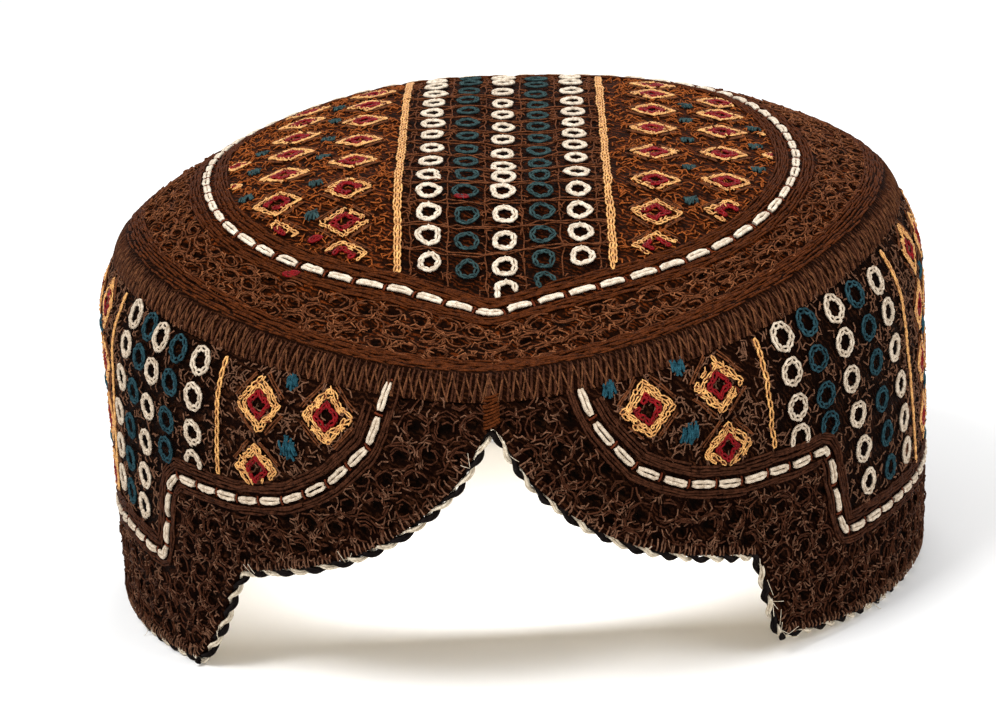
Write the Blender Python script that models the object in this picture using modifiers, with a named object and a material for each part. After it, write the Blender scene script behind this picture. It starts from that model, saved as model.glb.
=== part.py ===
"""A sindhi cap: an embroidered round cap whose side band is cut into an arch at the front.

The cap stands on its hem, in metres, with +Z up and its front towards -Y. Every piece is laid out on
one form: a plan that gives the outline at each run round the head, a rim whose height changes round the
cap, and a wall that swells and draws in again. A run is the length along the plan from the front seam,
positive towards +X. The pieces of cloth are open sheets on that form, thickened inwards.
"""

import math

import bmesh
import bpy
import numpy as np
from mathutils import Vector

# Plan of the cap at its widest level
HALF_WIDTH = 0.0900
FRONT_REACH = 0.0984
BACK_REACH = 0.0935
FRONT_POINT = 0.0076
POINT_ANGLE = 0.70
POINT_ROUNDING = 0.05

# Height of the rim, where the crown panel meets the side band
FRONT_HEIGHT = 0.0680
SIDE_HEIGHT = 0.0820
BACK_HEIGHT = 0.0850
RIM_ROLL = 0.0009
RIM_TWIST = 0.0012

# Swell of the wall, as shares of the plan and of the rim's height
BULGE_LEVEL = 0.765
RIM_SHARE = 0.924
HEM_SHARE = 0.988
HEM_LEFT_FLARE = 0.013

# Dome of the crown panel above the rim
CROWN_RISE = 0.0162
CROWN_LEAN = 0.070
FRONT_SQUARENESS = 3.0
BACK_SQUARENESS = 2.6
CROWN_ROLL = 1.3

# Front arch, its lobes and the stepped flaps
ARCH_HEIGHT = 0.0570
LEFT_STEP_HEIGHT = 0.0228
RIGHT_STEP_HEIGHT = 0.0218
LEFT_STEP_START = 0.0610
LEFT_STEP_END = 0.0797
RIGHT_STEP_START = 0.0555
RIGHT_STEP_END = 0.0625

# The right flap's corner stands a little clear of the floor, and its edge comes down to the hem
RIGHT_FLAP_LIFT = 0.0028
RIGHT_FLAP_END = 0.1050

# Thickness of each piece and the gap between neighbours
BAND_WALL = 0.0024
CROWN_WALL = 0.0026
SEAM_WALL = 0.0024
CORD_RADIUS = 0.0015
GAP = 0.0003

# Rim seam: its leg down the band, its leg over the crown and how far it swells
SEAM_DROP = 0.0046
SEAM_INSET = 0.0030
SEAM_SWELL = 0.0006
SEAM_GAP = 0.0004

# Clearance between the cord and the cloth above it
CORD_GAP = 0.0005

# Front seam between the two ends of the band
FRONT_SEAM_WIDTH = 0.0028
FRONT_SEAM_PROUD = 0.0005

# Number of faces along each piece
RING_FACES = 84
CROWN_FACES = 72
BAND_FACES = 98
BAND_ROWS = 8
CORD_SIDES = 8
CORD_POINTS = 132
FRONT_SEAM_ROWS = 5
FINE_REACH = 0.090
FINE_GAIN = 2.2
# Step used to read the direction of the wall
NEARBY = 0.0002

# Crown along its centre line: (share of its length from the front, share of CROWN_RISE)
CROWN_SECTIONS = (
    (0.00, 0.000),
    (0.06, 0.055),
    (0.12, 0.140),
    (0.19, 0.320),
    (0.26, 0.510),
    (0.32, 0.680),
    (0.36, 0.752),
    (0.42, 0.765),
    (0.52, 0.835),
    (0.62, 0.935),
    (0.72, 1.000),
    (0.80, 0.970),
    (0.87, 0.850),
    (0.93, 0.610),
    (0.97, 0.370),
    (1.00, 0.000),
)

# Edge of a lobe: (share of the run to the step, share of the height from the step to the arch)
LOBE_OUTLINE = (
    (0.00, 1.000),
    (0.05, 0.850),
    (0.10, 0.715),
    (0.18, 0.575),
    (0.27, 0.445),
    (0.38, 0.320),
    (0.50, 0.220),
    (0.65, 0.130),
    (0.85, 0.050),
    (1.00, 0.000),
)

# Edge of a step: (share of the step's run, share of its height)
STEP_OUTLINE = (
    (0.00, 1.00),
    (0.20, 0.80),
    (0.42, 0.50),
    (0.65, 0.25),
    (0.87, 0.07),
    (1.00, 0.00),
)

# Rows of the rim seam: (share of SEAM_DROP below the rim, share of SEAM_SWELL)
SEAM_WALL_ROWS = ((1.00, 0.0), (0.72, 0.8), (0.42, 1.0), (0.17, 0.5))
# Rows of the rim seam over the crown: share of SEAM_INSET
SEAM_CROWN_ROWS = (0.22, 0.60, 1.00)
# Rings of the crown panel, as shares of its reach from the centre
CROWN_RINGS = (1.0, 0.975, 0.93, 0.86, 0.77, 0.67, 0.56, 0.44, 0.31, 0.16, 0.0)

COLOURS = {
    "crown_panel": (0.085, 0.032, 0.014),
    "side_band": (0.060, 0.024, 0.011),
    "rim_seam": (0.120, 0.050, 0.024),
    "front_seam": (0.095, 0.038, 0.018),
    "edge_cord": (0.020, 0.015, 0.013),
}
CLOTH_ROUGHNESS = 0.92


def smooth_through(table, shares):
    """A smooth line through the rows of a table, read at the given shares."""
    at, values = np.array(table, dtype=float).T
    slopes = np.gradient(values, at)
    places = np.clip(shares, at[0], at[-1])
    step = np.clip(np.searchsorted(at, places, side="right") - 1, 0, len(at) - 2)
    width = at[step + 1] - at[step]
    t = (places - at[step]) / width
    start = (1 + 2 * t) * (1 - t) ** 2 * values[step] + t * (1 - t) ** 2 * width * slopes[step]
    end = t * t * (3 - 2 * t) * values[step + 1] + t * t * (t - 1) * width * slopes[step + 1]
    return start + end


def plan(angle):
    """Plan of the cap at its widest level, for angles from the front towards +X."""
    forward = np.cos(angle)
    reach = np.where(forward > 0, FRONT_REACH, BACK_REACH)
    aside = np.hypot(angle, POINT_ROUNDING) - POINT_ROUNDING
    point = FRONT_POINT * np.clip(1 - aside / POINT_ANGLE, 0, 1) ** 1.5
    return HALF_WIDTH * np.sin(angle), -reach * forward - point


def rim_height(angle):
    front = np.clip(np.cos(angle), 0, 1) ** 2
    back = np.clip(-np.cos(angle), 0, 1) ** 2
    height = SIDE_HEIGHT + (FRONT_HEIGHT - SIDE_HEIGHT) * front + (BACK_HEIGHT - SIDE_HEIGHT) * back
    return height + RIM_ROLL * np.sin(angle) - RIM_TWIST * np.sin(2 * angle)


ANGLES = np.linspace(-math.pi, math.pi, 4321)
PLAN_X, PLAN_Y = plan(ANGLES)
RUNS = np.concatenate([[0.0], np.cumsum(np.hypot(np.diff(PLAN_X), np.diff(PLAN_Y)))])
RUNS -= RUNS[len(RUNS) // 2]
HALF_GIRTH = RUNS[-1]


def angle_of(run):
    """Angle round the cap at a run, which wraps at the back."""
    wrapped = (np.asarray(run) + HALF_GIRTH) % (2 * HALF_GIRTH) - HALF_GIRTH
    return np.interp(wrapped, RUNS, ANGLES)


def wall_point(run, height, outwards=0.0):
    """Point of the wall's outer face at a run and a height, moved outwards by a length."""
    angle = angle_of(run)
    x, y = plan(angle)
    level = height / rim_height(angle)
    above = (level - BULGE_LEVEL) / (1 - BULGE_LEVEL)
    below = (BULGE_LEVEL - level) / BULGE_LEVEL
    hem = HEM_SHARE - HEM_LEFT_FLARE * math.sin(angle)
    if level > BULGE_LEVEL:
        swell = 1 - (1 - RIM_SHARE) * above**2
    else:
        swell = 1 - (1 - hem) * below**2
    spread = swell + outwards / math.hypot(x, y)
    return Vector((x * spread, y * spread, height))


RIM_ANGLES = np.linspace(0, math.pi, 1441)
RIM_X, RIM_Y = (RIM_SHARE * side for side in plan(RIM_ANGLES))
CROWN_LENGTH = RIM_Y[-1] - RIM_Y[0]


def crown_height(x, y):
    """Height of the crown's outer face over a point inside the rim."""
    along = np.clip((y - RIM_Y[0]) / CROWN_LENGTH, 0, 1)
    half = max(float(np.interp(y, RIM_Y, RIM_X)), 1e-6)
    across = float(np.clip(x / half, -1, 1))
    left = np.interp(y, RIM_Y, rim_height(-RIM_ANGLES))
    right = np.interp(y, RIM_Y, rim_height(RIM_ANGLES))
    edge = left + (right - left) * (0.5 + 0.5 * across)
    share = smooth_through(CROWN_SECTIONS, along)
    squareness = FRONT_SQUARENESS + (BACK_SQUARENESS - FRONT_SQUARENESS) * along
    dome = CROWN_RISE * share * (1 - abs(across) ** squareness) ** (1 / CROWN_ROLL)
    lean = -CROWN_LEAN * x * (1 - across * across) * min(1.0, 1.5 * share)
    return float(edge + dome + lean)


def crown_point(run, inset, ring=1.0):
    """Point of the crown's outer face, a length inside the rim, drawn in to a share of that reach."""
    x, y = plan(angle_of(run))
    reach = math.hypot(x, y) * RIM_SHARE
    share = RIM_SHARE * ring * (1 - inset / reach)
    return Vector((x * share, y * share, crown_height(x * share, y * share)))


def outline_height(run):
    """Height of the cap's lower outline at each run: arch, lobe, step and hem."""
    right = run > 0
    start = np.where(right, RIGHT_STEP_START, LEFT_STEP_START)
    end = np.where(right, RIGHT_STEP_END, LEFT_STEP_END)
    top = np.where(right, RIGHT_STEP_HEIGHT, LEFT_STEP_HEIGHT)
    away = np.abs(run)
    settled = np.clip((run - end) / (RIGHT_FLAP_END - end), 0, 1)
    hem = np.where(right, RIGHT_FLAP_LIFT * (1 - settled) ** 2, 0.0)
    lobe = top + (ARCH_HEIGHT - top) * smooth_through(LOBE_OUTLINE, away / start)
    step = hem + (top - hem) * smooth_through(STEP_OUTLINE, (away - start) / (end - start))
    return np.where(away < start, lobe, np.where(away < end, step, hem))


def raised(runs, heights, distance):
    """A lower edge moved into the cloth by a distance, rounded where it turns."""
    pace = runs[1] - runs[0]
    reach = int(distance / pace)
    moved = heights + distance
    for shift in range(-reach, reach + 1):
        lift = math.sqrt(distance**2 - (shift * pace) ** 2)
        moved = np.maximum(moved, np.roll(heights, shift) + lift)
    return moved


EDGE_RUNS = np.linspace(-HALF_GIRTH, HALF_GIRTH, 6001)
CORD_FLAT = CORD_RADIUS * math.cos(math.pi / CORD_SIDES)
CORD_HEIGHTS = raised(EDGE_RUNS, outline_height(EDGE_RUNS), CORD_FLAT)
BAND_HEIGHTS = raised(EDGE_RUNS, CORD_HEIGHTS, CORD_RADIUS + CORD_GAP)


def edge_height(run, heights):
    wrapped = (run + HALF_GIRTH) % (2 * HALF_GIRTH) - HALF_GIRTH
    return float(np.interp(wrapped, EDGE_RUNS, heights))


def spaced_runs(heights, count, first, last):
    """Runs from first to last, closer together where the edge is steep and near the front."""
    runs = np.linspace(first, last, 4001)
    edge = np.array([edge_height(run, heights) for run in runs])
    fine = 1 + (FINE_GAIN - 1) * (np.minimum(runs, 2 * HALF_GIRTH - runs) < FINE_REACH)
    lengths = np.hypot(np.diff(runs), np.diff(edge)) * fine[:-1]
    travelled = np.concatenate([[0.0], np.cumsum(lengths)])
    return np.interp(np.linspace(0, travelled[-1], count + 1), travelled, runs)


def material(name):
    """The matte cloth colour of one piece."""
    made = bpy.data.materials.new(name)
    made.use_nodes = True
    shader = made.node_tree.nodes["Principled BSDF"]
    shader.inputs["Base Color"].default_value = (*COLOURS[name], 1.0)
    shader.inputs["Roughness"].default_value = CLOTH_ROUGHNESS
    shader.inputs["Metallic"].default_value = 0.0
    return made


def place(name, data, parent):
    piece = bpy.data.objects.new(name, data)
    bpy.data.collections["sindhi_cap"].objects.link(piece)
    piece.parent = parent
    piece.data.materials.append(material(name))
    return piece


def sheet(name, columns, rows, point, wall, parent):
    """A grid laid on the cap's form by point(column, row), thickened inwards."""
    mesh = bpy.data.meshes.new(name)
    grid = bmesh.new()
    bmesh.ops.create_grid(grid, x_segments=columns, y_segments=rows, size=0.5)
    for vertex in grid.verts:
        column = round((vertex.co.x + 0.5) * columns)
        row = round((vertex.co.y + 0.5) * rows)
        vertex.co = point(column, row)
    bmesh.ops.remove_doubles(grid, verts=grid.verts, dist=1e-6)
    grid.to_mesh(mesh)
    grid.free()
    piece = place(name, mesh, parent)
    cloth = piece.modifiers.new("wall", "SOLIDIFY")
    cloth.thickness = wall
    cloth.offset = -1.0
    return piece


def crown_panel(parent):
    """The domed top panel, inside the rim seam."""
    rings = len(CROWN_RINGS) - 1

    def point(column, row):
        run = 2 * HALF_GIRTH * (column % CROWN_FACES) / CROWN_FACES
        return crown_point(run, SEAM_INSET + SEAM_GAP, CROWN_RINGS[row])

    return sheet("crown_panel", CROWN_FACES, rings, point, CROWN_WALL, parent)


def rim_seam(parent):
    """The overcast ridge that wraps the corner between the band and the crown panel."""
    wall_rows = len(SEAM_WALL_ROWS)

    def point(column, row):
        run = 2 * HALF_GIRTH * (column % RING_FACES) / RING_FACES
        if row < wall_rows:
            drop, swell = SEAM_WALL_ROWS[row]
            height = rim_height(angle_of(run)) - drop * SEAM_DROP
            return wall_point(run, float(height), swell * SEAM_SWELL)
        return crown_point(run, SEAM_CROWN_ROWS[row - wall_rows] * SEAM_INSET)

    rows = wall_rows + len(SEAM_CROWN_ROWS) - 1
    return sheet("rim_seam", RING_FACES, rows, point, SEAM_WALL, parent)


def band_top(run):
    return float(rim_height(angle_of(run))) - SEAM_DROP - GAP


def side_band(parent):
    """The side wall, one strip whose two ends stand either side of the front seam."""
    end = FRONT_SEAM_WIDTH / 2 + GAP
    runs = spaced_runs(BAND_HEIGHTS, BAND_FACES, end, 2 * HALF_GIRTH - end)

    def point(column, row):
        run = runs[column]
        low = edge_height(run, BAND_HEIGHTS)
        return wall_point(run, low + (band_top(run) - low) * row / BAND_ROWS)

    return sheet("side_band", BAND_FACES, BAND_ROWS, point, BAND_WALL, parent)


def front_seam(parent):
    """The satin-stitched column that joins the ends of the band above the arch."""
    half = FRONT_SEAM_WIDTH / 2
    low = edge_height(0.0, BAND_HEIGHTS)

    def point(column, row):
        run = (column - 1) * half
        proud = FRONT_SEAM_PROUD * (1.0 if column == 1 else 0.4)
        height = low + (band_top(run) - low) * row / FRONT_SEAM_ROWS
        return wall_point(run, height, proud)

    return sheet("front_seam", 2, FRONT_SEAM_ROWS, point, BAND_WALL, parent)


def cord_centre(run):
    """Point of the cord's centre line, under the middle of the band's wall and level on the hem."""
    height = edge_height(run, CORD_HEIGHTS)
    centre = wall_point(run, height)
    along = wall_point(run + NEARBY, height) - centre
    upwards = wall_point(run, height + NEARBY) - centre
    inwards = -along.cross(upwards).normalized() * BAND_WALL / 2
    inwards.z *= min(1.0, (height - CORD_FLAT) / CORD_RADIUS)
    return centre + inwards


def edge_cord(parent):
    """The cord along the whole lower edge, with a flat underside where it rests."""
    curve = bpy.data.curves.new("edge_cord", "CURVE")
    curve.dimensions = "3D"
    curve.twist_mode = "Z_UP"
    curve.bevel_mode = "ROUND"
    curve.bevel_depth = CORD_RADIUS
    curve.bevel_resolution = CORD_SIDES // 2 - 2
    line = curve.splines.new("POLY")
    line.points.add(CORD_POINTS - 1)
    line.use_cyclic_u = True
    runs = spaced_runs(CORD_HEIGHTS, CORD_POINTS, 0.0, 2 * HALF_GIRTH)[:-1]
    for spot, run in zip(line.points, runs):
        spot.co = (*cord_centre(run), 1.0)
        spot.tilt = math.pi / CORD_SIDES
    return place("edge_cord", curve, parent)


def centre_on_floor(holder, pieces):
    """Moves the holder so that the cap's box is centred over the world's origin."""
    bpy.context.view_layer.update()
    ready = bpy.context.evaluated_depsgraph_get()
    spots = []
    for piece in pieces:
        shaped = piece.evaluated_get(ready)
        spots += [vertex.co.copy() for vertex in shaped.to_mesh().vertices]
        shaped.to_mesh_clear()
    for axis in (0, 1):
        low = min(spot[axis] for spot in spots)
        high = max(spot[axis] for spot in spots)
        holder.location[axis] = -(low + high) / 2


def build():
    for old in list(bpy.data.objects):
        bpy.data.objects.remove(old)
    collection = bpy.data.collections.new("sindhi_cap")
    bpy.context.scene.collection.children.link(collection)
    holder = bpy.data.objects.new("cap_form", None)
    collection.objects.link(holder)
    makers = (crown_panel, side_band, rim_seam, front_seam, edge_cord)
    pieces = [make(holder) for make in makers]
    centre_on_floor(holder, pieces)


build()
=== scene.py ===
# %% [markdown]
# # A sindhi cap, dressed for its portrait
# A sindhi cap is a round cap of stitched cloth. Its top is a flat, quilted disc, its side is one tall
# band with an arch cut out over the forehead, and nearly every part of both is covered with thread.
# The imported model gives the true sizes. This lesson lays the cloth and its stitches over that model.

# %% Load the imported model
import math

import bmesh
import bpy
import numpy as np
from mathutils import Matrix, Vector


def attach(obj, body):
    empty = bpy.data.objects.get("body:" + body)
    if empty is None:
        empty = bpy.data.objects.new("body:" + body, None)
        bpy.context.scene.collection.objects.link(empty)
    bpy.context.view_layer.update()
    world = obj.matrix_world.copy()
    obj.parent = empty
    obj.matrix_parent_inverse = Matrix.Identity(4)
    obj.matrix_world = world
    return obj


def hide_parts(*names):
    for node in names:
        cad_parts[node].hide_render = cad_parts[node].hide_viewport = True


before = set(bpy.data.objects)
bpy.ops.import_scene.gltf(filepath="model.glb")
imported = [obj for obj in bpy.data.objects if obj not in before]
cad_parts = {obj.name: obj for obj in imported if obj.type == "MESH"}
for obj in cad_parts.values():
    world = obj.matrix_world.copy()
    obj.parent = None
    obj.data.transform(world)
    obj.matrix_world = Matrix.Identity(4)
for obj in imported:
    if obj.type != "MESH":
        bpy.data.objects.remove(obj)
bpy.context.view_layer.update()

print("packed pieces:", ", ".join(sorted(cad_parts)))

# %% [markdown]
# ## The camera
# The photo looks at the front of the cap from a little above, with a long lens and a slight roll. A
# camera is an object whose own axes are its right, its up and the direction behind it, so the three
# directions are worked out first and set as the columns of its matrix.

# %% Camera
PHOTO_WIDTH = 996
FOCAL_PIXELS = 3333.1
SENSOR_MM = 36.0
CAMERA_AT = Vector((0.0383, -0.7104, 0.2338))
CAMERA_AIM = Vector((-0.0040, 0.0060, 0.0441))
CAMERA_ROLL = math.radians(3.996)

towards = (CAMERA_AIM - CAMERA_AT).normalized()
level_right = towards.cross(Vector((0, 0, 1))).normalized()
level_up = level_right.cross(towards)
right = level_right * math.cos(CAMERA_ROLL) - level_up * math.sin(CAMERA_ROLL)
up = level_right * math.sin(CAMERA_ROLL) + level_up * math.cos(CAMERA_ROLL)

lens = bpy.data.cameras.new("portrait_camera")
lens.sensor_width = SENSOR_MM
lens.lens = FOCAL_PIXELS * SENSOR_MM / PHOTO_WIDTH
camera = bpy.data.objects.new("portrait_camera", lens)
camera.matrix_world = Matrix.Translation(CAMERA_AT) @ Matrix((right, up, -towards)).transposed().to_4x4()
bpy.context.scene.collection.objects.link(camera)
bpy.context.scene.camera = camera
print(f"lens {lens.lens:.1f} mm")

# %% [markdown]
# ## The form of the cap
# Every piece follows one form, as real cloth is shaped over a block. The form has a plan, a rim whose
# height changes round the head, and a wall that swells and draws in. These are the sizes that the
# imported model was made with, so that a stitch lands on the cloth and not near it. A run is a length
# round the head from the front seam, positive towards the right of the photo.

# %% Sizes of the form
MM = 0.001
HALF_WIDTH, FRONT_REACH, BACK_REACH = 0.0900, 0.0984, 0.0935
FRONT_POINT, POINT_ANGLE, POINT_ROUNDING = 0.0076, 0.70, 0.05
FRONT_HEIGHT, SIDE_HEIGHT, BACK_HEIGHT = 0.0680, 0.0820, 0.0850
RIM_ROLL, RIM_TWIST = 0.0009, 0.0012
BULGE_LEVEL, RIM_SHARE, HEM_SHARE, HEM_LEFT_FLARE = 0.765, 0.924, 0.988, 0.013
CROWN_RISE, CROWN_LEAN, CROWN_ROLL = 0.0162, 0.070, 1.3
FRONT_SQUARENESS, BACK_SQUARENESS = 3.0, 2.6
ARCH_HEIGHT, LEFT_STEP_HEIGHT, RIGHT_STEP_HEIGHT = 0.0570, 0.0228, 0.0218
LEFT_STEP_START, LEFT_STEP_END = 0.0610, 0.0797
RIGHT_STEP_START, RIGHT_STEP_END = 0.0555, 0.0625
RIGHT_FLAP_LIFT, RIGHT_FLAP_END = 0.0028, 0.1050
CORD_RADIUS, CORD_SIDES = 0.0015, 8
BAND_WALL, SEAM_DROP = 0.0024, 0.0046
FORM_SHIFT = np.array((0.000125, 0.006240, 0.0))
print(f"plan {2 * HALF_WIDTH / MM:.0f} mm wide, arch {ARCH_HEIGHT / MM:.0f} mm high")

# Crown along its centre line: (share of its length from the front, share of CROWN_RISE)
CROWN_SECTIONS = (
    (0.00, 0.000), (0.06, 0.055), (0.12, 0.140), (0.19, 0.320), (0.26, 0.510), (0.32, 0.680),
    (0.36, 0.752), (0.42, 0.765), (0.52, 0.835), (0.62, 0.935), (0.72, 1.000), (0.80, 0.970),
    (0.87, 0.850), (0.93, 0.610), (0.97, 0.370), (1.00, 0.000),
)
# Edge of a lobe: (share of the run to the step, share of the height from the step to the arch)
LOBE_OUTLINE = (
    (0.00, 1.000), (0.05, 0.850), (0.10, 0.715), (0.18, 0.575), (0.27, 0.445), (0.38, 0.320),
    (0.50, 0.220), (0.65, 0.130), (0.85, 0.050), (1.00, 0.000),
)
# Edge of a step: (share of the step's run, share of its height)
STEP_OUTLINE = ((0.00, 1.00), (0.20, 0.80), (0.42, 0.50), (0.65, 0.25), (0.87, 0.07), (1.00, 0.00))


# %% Plan and rim of the form
def smooth_through(table, shares):
    """A smooth line through the rows of a table, read at the given shares."""
    at, values = np.array(table, dtype=float).T
    slopes = np.gradient(values, at)
    places = np.clip(shares, at[0], at[-1])
    step = np.clip(np.searchsorted(at, places, side="right") - 1, 0, len(at) - 2)
    width = at[step + 1] - at[step]
    t = (places - at[step]) / width
    start = (1 + 2 * t) * (1 - t) ** 2 * values[step] + t * (1 - t) ** 2 * width * slopes[step]
    end = t * t * (3 - 2 * t) * values[step + 1] + t * t * (t - 1) * width * slopes[step + 1]
    return start + end


def plan(angle):
    forward = np.cos(angle)
    reach = np.where(forward > 0, FRONT_REACH, BACK_REACH)
    aside = np.hypot(angle, POINT_ROUNDING) - POINT_ROUNDING
    point = FRONT_POINT * np.clip(1 - aside / POINT_ANGLE, 0, 1) ** 1.5
    return HALF_WIDTH * np.sin(angle), -reach * forward - point


def rim_height(angle):
    front = np.clip(np.cos(angle), 0, 1) ** 2
    back = np.clip(-np.cos(angle), 0, 1) ** 2
    height = SIDE_HEIGHT + (FRONT_HEIGHT - SIDE_HEIGHT) * front + (BACK_HEIGHT - SIDE_HEIGHT) * back
    return height + RIM_ROLL * np.sin(angle) - RIM_TWIST * np.sin(2 * angle)


ANGLES = np.linspace(-math.pi, math.pi, 4321)
PLAN_X, PLAN_Y = plan(ANGLES)
RUNS = np.concatenate([[0.0], np.cumsum(np.hypot(np.diff(PLAN_X), np.diff(PLAN_Y)))])
RUNS -= RUNS[len(RUNS) // 2]
HALF_GIRTH = RUNS[-1]
RIM_ANGLES = np.linspace(0, math.pi, 1441)
RIM_X, RIM_Y = (RIM_SHARE * side for side in plan(RIM_ANGLES))
CROWN_LENGTH = RIM_Y[-1] - RIM_Y[0]
LEFT_RIM, RIGHT_RIM = rim_height(-RIM_ANGLES), rim_height(RIM_ANGLES)
print(f"girth {2 * HALF_GIRTH / MM:.0f} mm, crown {CROWN_LENGTH / MM:.0f} mm long")


def around(run):
    """The same run, wrapped so that it lies between the two sides of the back."""
    return (np.asarray(run, float) + HALF_GIRTH) % (2 * HALF_GIRTH) - HALF_GIRTH


def rim_at(run):
    return rim_height(np.interp(around(run), RUNS, ANGLES))


# %% Points on the wall and on the crown
def on_wall(run, height, lift=0.0):
    """Places on the outer face of the band, lifted outwards, for any number of runs and heights."""
    run, height, lift = np.broadcast_arrays(*(np.asarray(part, float) for part in (run, height, lift)))
    angle = np.interp(around(run), RUNS, ANGLES)
    x, y = plan(angle)
    level = height / rim_height(angle)
    hem = HEM_SHARE - HEM_LEFT_FLARE * np.sin(angle)
    above = 1 - (1 - RIM_SHARE) * ((level - BULGE_LEVEL) / (1 - BULGE_LEVEL)) ** 2
    below = 1 - (1 - hem) * ((BULGE_LEVEL - level) / BULGE_LEVEL) ** 2
    spread = np.where(level > BULGE_LEVEL, above, below) + lift / np.hypot(x, y)
    return np.stack([x * spread, y * spread, height], axis=-1) + FORM_SHIFT


def crown_height(x, y):
    along = np.clip((y - RIM_Y[0]) / CROWN_LENGTH, 0, 1)
    half = np.maximum(np.interp(y, RIM_Y, RIM_X), 1e-6)
    across = np.clip(x / half, -1, 1)
    left, right_side = np.interp(y, RIM_Y, LEFT_RIM), np.interp(y, RIM_Y, RIGHT_RIM)
    edge = left + (right_side - left) * (0.5 + 0.5 * across)
    share = smooth_through(CROWN_SECTIONS, along)
    squareness = FRONT_SQUARENESS + (BACK_SQUARENESS - FRONT_SQUARENESS) * along
    dome = CROWN_RISE * share * (1 - np.abs(across) ** squareness) ** (1 / CROWN_ROLL)
    return edge + dome - CROWN_LEAN * x * (1 - across * across) * np.minimum(1.0, 1.5 * share)


def on_crown(x, y, lift=0.0):
    """Places on the outer face of the crown, lifted along the face's own direction."""
    x, y, lift = np.broadcast_arrays(*(np.asarray(part, float) for part in (x, y, lift)))
    near = 0.4 * MM
    slope_x = (crown_height(x + near, y) - crown_height(x - near, y)) / (2 * near)
    slope_y = (crown_height(x, y + near) - crown_height(x, y - near)) / (2 * near)
    steep = np.sqrt(1 + slope_x**2 + slope_y**2)
    spots = np.stack([x, y, crown_height(x, y)], axis=-1)
    outwards = np.stack([-slope_x, -slope_y, np.ones_like(x)], axis=-1) / steep[..., None]
    return spots + outwards * lift[..., None] + FORM_SHIFT


def crown_spot(angle, ring, inset=0.0):
    """Where a share of the crown's reach lies, in plan, after a length is taken off at the rim."""
    x, y = plan(angle)
    share = RIM_SHARE * ring * (1 - inset / (np.hypot(x, y) * RIM_SHARE))
    return x * share, y * share


print("front of the rim:", on_wall(0.0, rim_at(0.0)).round(4))
print("middle of the crown:", on_crown(0.0, 0.0).round(4))


# %% Lower outline of the band
def outline_height(run):
    is_right = run > 0
    start = np.where(is_right, RIGHT_STEP_START, LEFT_STEP_START)
    end = np.where(is_right, RIGHT_STEP_END, LEFT_STEP_END)
    top = np.where(is_right, RIGHT_STEP_HEIGHT, LEFT_STEP_HEIGHT)
    away = np.abs(run)
    settled = np.clip((run - end) / (RIGHT_FLAP_END - end), 0, 1)
    hem = np.where(is_right, RIGHT_FLAP_LIFT * (1 - settled) ** 2, 0.0)
    lobe = top + (ARCH_HEIGHT - top) * smooth_through(LOBE_OUTLINE, away / start)
    step = hem + (top - hem) * smooth_through(STEP_OUTLINE, (away - start) / (end - start))
    return np.where(away < start, lobe, np.where(away < end, step, hem))


def raised(runs, heights, distance):
    """A lower edge moved up into the cloth by a distance, rounded where it turns."""
    pace = runs[1] - runs[0]
    moved = heights + distance
    for shift in range(-int(distance / pace), int(distance / pace) + 1):
        lift = math.sqrt(distance**2 - (shift * pace) ** 2)
        moved = np.maximum(moved, np.roll(heights, shift) + lift)
    return moved


# The height of the cord's centre where one of its flat sides rests on the floor
CORD_REST = CORD_RADIUS * math.cos(math.pi / CORD_SIDES)
EDGE_RUNS = np.linspace(-HALF_GIRTH, HALF_GIRTH, 6001)
CORD_HEIGHTS = raised(EDGE_RUNS, outline_height(EDGE_RUNS), CORD_REST)


def cord_level(run):
    return np.interp(around(run), EDGE_RUNS, CORD_HEIGHTS)


print(f"cord's centre {CORD_HEIGHTS.min() / MM:.1f} to {CORD_HEIGHTS.max() / MM:.1f} mm high")


# %% [markdown]
# ## The drawing of the pattern
# Before it is stitched, the pattern is drawn on the cloth. A white dashed line frames each area: an
# oval on the crown, and on the band a line that rises over the arch and drops to the hem at the
# sides. Inside the frames lie strips of rings and fields of diamonds. Outside them is openwork.
# The back of the cap can't be seen in the photo, so the fields simply carry on round it.

# %% Frames of the pattern
# Dashed line on the band: (run, height) in millimetres, either side of the front seam
LEFT_FRAME = (
    (-21.5, 67.5), (-22.4, 64.8), (-24.0, 59.5), (-26.1, 54.8), (-30.3, 51.0), (-34.9, 47.2),
    (-40.7, 44.2), (-47.1, 41.8), (-53.8, 40.8), (-60.1, 40.2), (-66.8, 40.4), (-74.2, 40.8),
    (-81.0, 41.2), (-84.3, 38.5), (-86.2, 32.5), (-88.0, 26.0), (-90.0, 22.0), (-97.0, 22.5),
    (-112.0, 24.0), (-140.0, 22.5),
)
RIGHT_FRAME = (
    (18.3, 64.5), (19.1, 61.2), (21.1, 56.8), (24.8, 52.0), (28.6, 47.5), (34.0, 44.5), (39.9, 42.0),
    (46.2, 40.8), (53.4, 39.8), (60.6, 40.0), (67.6, 39.8), (76.5, 40.6), (78.2, 38.0), (79.1, 33.2),
    (80.4, 27.8), (81.6, 23.2), (83.2, 21.2), (85.3, 21.2), (109.3, 21.6), (140.0, 21.8),
)
HALF_GIRTH_MM = HALF_GIRTH / MM
FRAME_LINE = np.array([(-HALF_GIRTH_MM, 22.0), *reversed(LEFT_FRAME)]) * MM
FRAME_LINE_RIGHT = np.array([*RIGHT_FRAME, (HALF_GIRTH_MM, 22.0)]) * MM


def evenly(line, pace):
    """Points at an even pace along a line of corners."""
    line = np.asarray(line, float)
    travelled = np.concatenate([[0.0], np.cumsum(np.linalg.norm(np.diff(line, axis=0), axis=1))])
    count = max(2, int(round(travelled[-1] / pace)) + 1)
    at = np.linspace(0, travelled[-1], count)
    return np.stack([np.interp(at, travelled, side) for side in line.T], axis=-1)


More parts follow.
